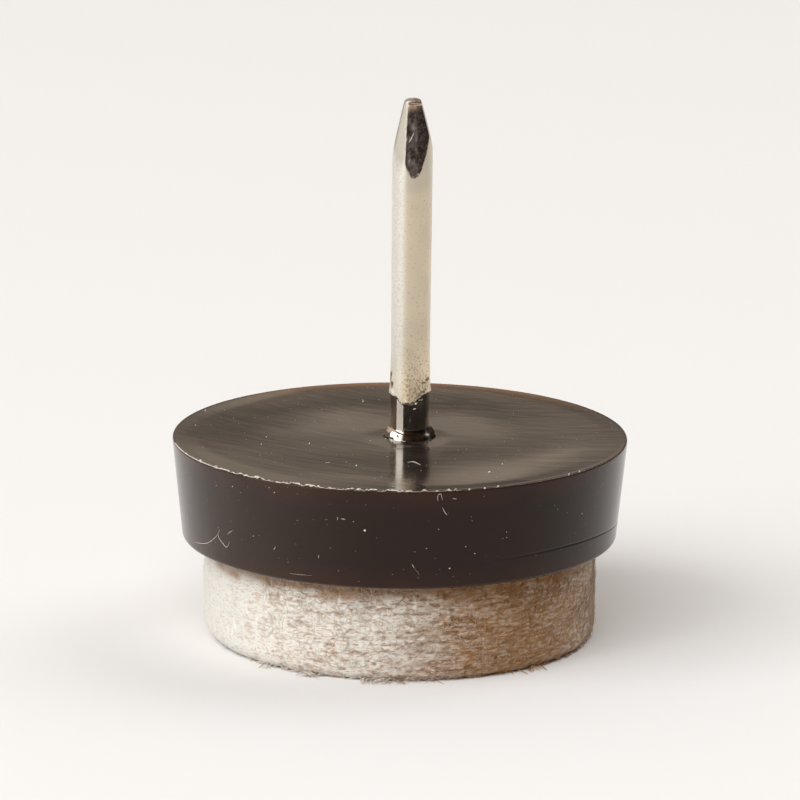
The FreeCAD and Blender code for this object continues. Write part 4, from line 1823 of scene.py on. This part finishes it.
    def build(self) -> None:
        """Builds the plug and all its fibres."""
        self.build_plug()
        drawn = np.random.default_rng(self.seed + 1)
        for name in ("felt_fibres_a", "felt_fibres_b"):
            azimuth, level = self.walk(drawn, self.lying_count, self.lying_length, self.lying_steep)
            arch = np.sin(np.linspace(0, math.pi, self.fibre_points))
            proud = drawn.uniform(*self.lying_proud, (self.lying_count, 1)) * arch[None, :]
            proud = proud * (0.08 + 0.92 * self.grain_at(azimuth) ** 2)
            proud = proud - self.matted_depth * self.matted_and_painted_shade(azimuth)
            paths = self.side_point(azimuth, level, proud)
            radii = drawn.uniform(*self.lying_radius, self.lying_count)
            radii = radii * (0.5 + 0.6 * self.grain_at(azimuth[:, 0]))
            self.build_fibres(name, paths, radii, self.shade_at(drawn, azimuth[:, 0], level[:, 0]))
        self.build_fuzz(drawn)
        self.build_fray(drawn)
        self.build_loops()

    def build_fuzz(self, drawn: np.random.Generator) -> None:
        """Builds the loose hairs that stand off the side.

        Args:
            drawn: Where the random values come from.
        """
        azimuth, level = self.walk(drawn, self.fuzz_count, self.fuzz_length, self.fuzz_steep)
        lift = np.linspace(0, 1, self.fibre_points) ** 1.5
        proud = drawn.uniform(*self.fuzz_proud, (self.fuzz_count, 1)) * lift[None, :]
        proud = proud - 2 * self.matted_depth * self.matted_and_painted_shade(azimuth)
        paths = self.side_point(azimuth, level, proud)
        radii = drawn.uniform(*self.fuzz_radius, self.fuzz_count)
        self.build_fibres("felt_fuzz", paths, radii, self.shade_at(drawn, azimuth[:, 0], level[:, 0]))

    def build_loops(self) -> None:
        """Builds the pale loops that stand out at the front."""
        azimuth, level = np.moveaxis(np.array(self.loops), -1, 0)
        count = len(azimuth)
        paths = self.side_point(azimuth, level, np.full_like(azimuth, self.loop_proud))
        self.build_fibres("felt_loops", paths, np.full(count, self.loop_radius), np.zeros(count))

    def build_fray(self, drawn: np.random.Generator) -> None:
        """Builds the frayed fibres that lie out from the lower edge.

        Args:
            drawn: Where the random values come from.
        """
        count = self.fray_count
        start = drawn.uniform(-HALF_TURN_DEG, HALF_TURN_DEG, count)
        in_clump = drawn.uniform(0, 1, count) < self.clump_share
        clumped = in_clump.sum()
        start[in_clump] = drawn.choice(np.array(self.fray_clumps), clumped) + drawn.normal(0, 1.5, clumped)
        along = np.linspace(0, 1, self.fibre_points)
        long = drawn.uniform(*self.clump_length, count)
        reach = np.where(in_clump, long, drawn.uniform(*self.fray_length, count))
        reach = np.where(np.abs(turn_from(start, -85)) < 34, 0.05, reach)
        sideways = np.degrees(drawn.normal(0, 0.45, count) / self.radius)
        azimuth = start[:, None] + sideways[:, None] * along
        rounding = self.foot_round(start)
        base = drawn.uniform(0.02, 0.22, count)
        drop = np.clip(rounding - base, 0, rounding)
        foot = self.radius - rounding + np.sqrt(np.clip(rounding ** 2 - drop ** 2, 0, None)) - 0.06
        level = base[:, None] * (1 - 0.8 * along) + 0.03 * np.sin(math.pi * along) + 0.012
        paths = around(foot[:, None] + reach[:, None] * along, azimuth, level)
        radii = drawn.uniform(*self.fray_radius, count)
        shade = np.clip(self.shade_at(drawn, start, base) + 0.1, 0, 1)
        self.build_fibres("felt_fray", paths, radii, shade)


@dataclass(frozen=True)
class HotMeltGlue:
    """Amber hot-melt glue, pressed flat: waxy, with bubbles and thin patches."""

    amber: str = "#C9A35E"
    thin: str = "#E3CFA0"
    patch_size: float = 1.6
    bubble_size: float = 0.35

    def dress(self, node: bpy.types.Object) -> None:
        """Gives a CAD node this finish.

        Args:
            node: The node's object.
        """
        material = blank_material("pressed_hot_melt_glue")
        tree = material.node_tree
        place = add_node(tree, "TexCoord").outputs["Object"]
        patch = add_node(tree, "TexNoise", {
            "Vector": place, "Scale": per_size(self.patch_size), "Detail": 3.0,
        })
        bubble = add_node(tree, "TexVoronoi", {"Vector": place, "Scale": per_size(self.bubble_size)})
        colour = add_node(tree, "Mix", {
            MIX_SHARE: patch.outputs[0], MIX_A: linear(self.amber), MIX_B: linear(self.thin),
        }, data_type="RGBA").outputs[MIX_RESULT]
        bump = add_node(tree, "Bump", {
            "Strength": 0.4, "Distance": 0.03 * MM, "Height": bubble.outputs["Distance"],
        })
        skin = add_node(tree, "BsdfPrincipled", {
            "Base Color": colour, "Roughness": 0.35, "IOR": 1.48, "Normal": bump.outputs[0],
        })
        add_node(tree, "OutputMaterial", {"Surface": skin.outputs[0]})
        node.data.materials.clear()
        node.data.materials.append(material)
        LOG.info("adhesive_film: dressed")


@dataclass(frozen=True)
class CottonLint:
    """Cotton lint and paper dust: matt, nearly white, a few grains orange."""

    white: str = "#E9E4DA"
    orange: str = "#B97F45"

    def material(self) -> bpy.types.Material:
        """Builds the lint's material.

        Returns:
            The material, which reads the mark shade.
        """
        material = blank_material("cotton_lint")
        tree = material.node_tree
        shade = add_node(tree, "Attribute", attribute_name="shade").outputs["Fac"]
        colour = add_node(tree, "Mix", {
            MIX_SHARE: shade, MIX_A: linear(self.white), MIX_B: linear(self.orange),
        }, data_type="RGBA").outputs[MIX_RESULT]
        skin = add_node(tree, "BsdfPrincipled", {
            "Base Color": colour, "Roughness": 0.9, "Specular IOR Level": 0.2,
        })
        add_node(tree, "OutputMaterial", {"Surface": skin.outputs[0]})
        return material


@dataclass
class SurfaceLint:
    """Hairs, specks and fine dust that cling to the disc, where the photograph shows them."""

    camera: PhotoCamera
    disc: MouldedDisc
    hair_radius: float = 0.0105
    hair_sides: int = 5
    hair_soften: int = 3
    # How much thicker the hairs on the top are than those on the wall, and how thin the scratches are.
    top_hair_share: float = 1.6
    scratch_share: float = 0.4
    # A direction out of the surface, a little off the axes, for the hairs of each.
    wall_facing: tuple[float, float, float] = (0.05, -1.0, 0.03)
    top_facing: tuple[float, float, float] = (0.03, 0.05, 1.0)
    seed: int = 91
    wall_hairs: dict[str, tuple[Pixel, ...]] = field(default_factory=lambda: {
        "long_hair": (
            (187, 541), (193, 541), (200, 543), (206, 543), (210, 541), (215, 537), (218, 533), (219, 529),
        ),
        "hooked_hair": ((218, 534), (218, 537), (221, 541), (224, 545), (226, 547), (228, 545), (229, 541)),
        "stub": ((227, 534), (229, 532), (232, 530)),
        "curl": ((437.5, 500.6), (436.8, 497), (438, 494), (440, 493), (441, 494.5), (442, 500)),
        "tail": ((442, 507), (443.6, 510.6), (445, 513), (446.7, 514.7)),
        "bright_dash": ((411.5, 563.5), (412.5, 565.5), (413.6, 567.5)),
        "left_dash": ((273.4, 549.2), (274, 548), (275, 546.2)),
        "low_dash": ((318, 554.5), (318.2, 556), (318, 557.5)),
        "upright_dash": ((337, 516.4), (337, 518), (337.2, 519.8)),
        "level_dash": ((340.5, 518.2), (343, 518.6), (345, 518.9)),
        "short_level": ((452, 498), (454, 498.2), (456, 498.6)),
    })
    scratches: dict[str, tuple[Pixel, ...]] = field(default_factory=lambda: {
        "wisp": ((413.5, 567), (415, 569.5), (417.5, 571.5), (418.6, 574)),
        "long_scratch": ((253, 518), (275, 520), (300, 522.6), (327, 524)),
        "high_scratch": ((296, 520), (312, 519.6), (327, 519)),
        "foot_scratch": ((289, 573), (300, 574.2), (311, 575)),
    })
    top_hairs: dict[str, tuple[Pixel, ...]] = field(default_factory=lambda: {
        "curved_hair": ((407.5, 461.6), (410, 460.6), (413, 460.6), (416, 461.8), (420, 464)),
        "dash": ((325, 462.9), (327.5, 462.5), (330, 462)),
        "collar_curl": ((399.5, 440), (402, 441.4), (404, 441.8), (406, 441.2)),
    })
    wall_specks: tuple[Pixel, ...] = (
        (216, 485), (232, 486), (269, 487), (274, 492), (187, 518), (364.5, 530), (253, 535.5), (353, 521),
        (506, 531.5), (506, 537), (449, 568), (465, 546), (474, 553), (438, 529), (581, 513), (426, 548),
    )
    top_specks: tuple[Pixel, ...] = (
        (266, 438), (261, 445.5), (309, 443.5), (352.5, 454), (356, 465), (370, 440.5), (385, 439),
        (205, 410.5), (195, 425.5), (362.5, 402.5), (489, 472.5), (502, 465.5),
    )
    orange_speck: Pixel = (352.5, 454)
    large_specks: tuple[Pixel, ...] = ((449, 568), (364.5, 530), (489, 472.5))
    # Mean radius of a small and of a large speck.
    wall_speck_sizes: Span = (0.028, 0.05)
    top_speck_sizes: Span = (0.038, 0.065)
    speck_proud: float = 0.01
    dust_on_wall: int = 260
    dust_on_top: int = 170
    wall_dust: Span = (0.007, 0.017)
    top_dust: Span = (0.008, 0.019)
    dust_shade: float = 0.2

    def on_wall(self, pixel: Pixel, proud: float) -> Array:
        """The point just off the wall that a pixel shows."""
        azimuth, level = self.camera.on_wall(pixel, self.disc)
        return around(self.disc.wall_radius(level) + proud, azimuth, level)

    def on_top(self, pixel: Pixel, proud: float) -> Array:
        """The point just off the disc's top that a pixel shows."""
        x, y, _ = self.camera.on_level(pixel, self.disc.top)
        level = self.disc.top_level(np.hypot(x, y), math.degrees(math.atan2(x, -y)))
        return np.array([x, y, level + proud])

    def build_hairs(self) -> bpy.types.Object:
        """Builds the hairs and the light scratches.

        Returns:
            The piece.
        """
        skins = []
        groups = (
            (self.wall_hairs, self.on_wall, self.hair_radius, self.wall_facing),
            (self.top_hairs, self.on_top, self.top_hair_share * self.hair_radius, self.top_facing),
            (self.scratches, self.on_wall, self.scratch_share * self.hair_radius, self.wall_facing),
        )
        for hairs, place, radius, facing in groups:
            for pixels in hairs.values():
                path = np.array([place(pixel, 0.6 * radius) for pixel in pixels])
                known = np.arange(len(path))
                spaced = np.linspace(0, len(path) - 1, 4 * len(path))
                path = np.stack([np.interp(spaced, known, along) for along in path.T], axis=1)
                for _ in range(self.hair_soften):
                    path[1:-1] = (path[:-2] + 2 * path[1:-1] + path[2:]) / 4
                skin = tube_skin(path[None], np.array([radius]), np.array([facing]), self.hair_sides)
                skins.append(skin)
        return self.join("lint_hairs", skins, [0.0] * len(skins))

    def build_specks(self) -> bpy.types.Object:
        """Builds the specks that the photograph shows, and fine dust all round.

        Returns:
            The piece.
        """
        drawn = np.random.default_rng(self.seed)
        spots = []
        for pixel in self.wall_specks:
            size = self.wall_speck_sizes[pixel in self.large_specks]
            spots.append((self.on_wall(pixel, self.speck_proud), size, 0.0))
        for pixel in self.top_specks:
            size = self.top_speck_sizes[pixel in self.large_specks]
            shade = 1.0 if pixel == self.orange_speck else 0.0
            spots.append((self.on_top(pixel, self.speck_proud), size, shade))
        for _ in range(self.dust_on_wall):
            level = drawn.uniform(self.disc.foot + 0.3, self.disc.top - 0.2)
            turn = drawn.uniform(-HALF_TURN_DEG, HALF_TURN_DEG)
            place = around(self.disc.wall_radius(level), turn, level)
            spots.append((place, drawn.uniform(*self.wall_dust), self.dust_shade))
        for _ in range(self.dust_on_top):
            radius = self.disc.crown_radius * math.sqrt(drawn.uniform(0.04, 0.97))
            turn = drawn.uniform(-HALF_TURN_DEG, HALF_TURN_DEG)
            place = around(radius, turn, self.disc.top_level(radius, turn))
            spots.append((place, drawn.uniform(*self.top_dust), self.dust_shade))
        skins = [self.grain(drawn, place, size) for place, size, _ in spots]
        return self.join("lint_specks", skins, [shade for _, _, shade in spots])

    @staticmethod
    def grain(drawn: np.random.Generator, place: Array, size: float) -> Skin:
        """One uneven eight-sided grain.

        Args:
            drawn: Where the random values come from.
            place: Its middle.
            size: Its mean radius.

        Returns:
            The points and the faces.
        """
        tips = np.array([[1, 0, 0], [0, 1, 0], [-1, 0, 0], [0, -1, 0], [0, 0, 1], [0, 0, -1]], float)
        points = place + tips * size * drawn.uniform(0.6, 1.5, (6, 1))
        upper = [[side, (side + 1) % 4, 4] for side in range(4)]
        lower = [[(side + 1) % 4, side, 5] for side in range(4)]
        return points, [np.array(upper + lower)]

    @staticmethod
    def join(name: str, skins: list[Skin], shades: list[float]) -> bpy.types.Object:
        """Makes one piece of many small skins.

        Args:
            name: The piece's name.
            skins: Points and faces of each.
            shades: How orange each one is, from 0 to 1.

        Returns:
            The piece.
        """
        points, faces, marks = [], [], []
        offset = 0
        for (corners, groups), shade in zip(skins, shades):
            points.append(corners)
            faces.extend(group + offset for group in groups)
            marks.append(np.full(len(corners), shade))
            offset += len(corners)
        skin = (np.concatenate(points), faces)
        return make_piece(name, skin, CottonLint().material(), Slot.PLASTIC, {"shade": np.concatenate(marks)})

    def build(self) -> None:
        """Builds the hairs and the specks."""
        self.build_hairs()
        self.build_specks()


def main() -> None:
    """Builds the studio and the glide, piece by piece."""
    logging.basicConfig(level=logging.INFO, format="%(message)s")
    disc = MouldedDisc()
    camera = PhotoCamera(disc.top)
    camera.build()
    Studio().build()
    WireNail().build()
    disc.build(camera)
    FeltPad().build()
    HotMeltGlue().dress(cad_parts["adhesive_film"])
    SurfaceLint(camera, disc).build()


if __name__ == "__main__":
    main()
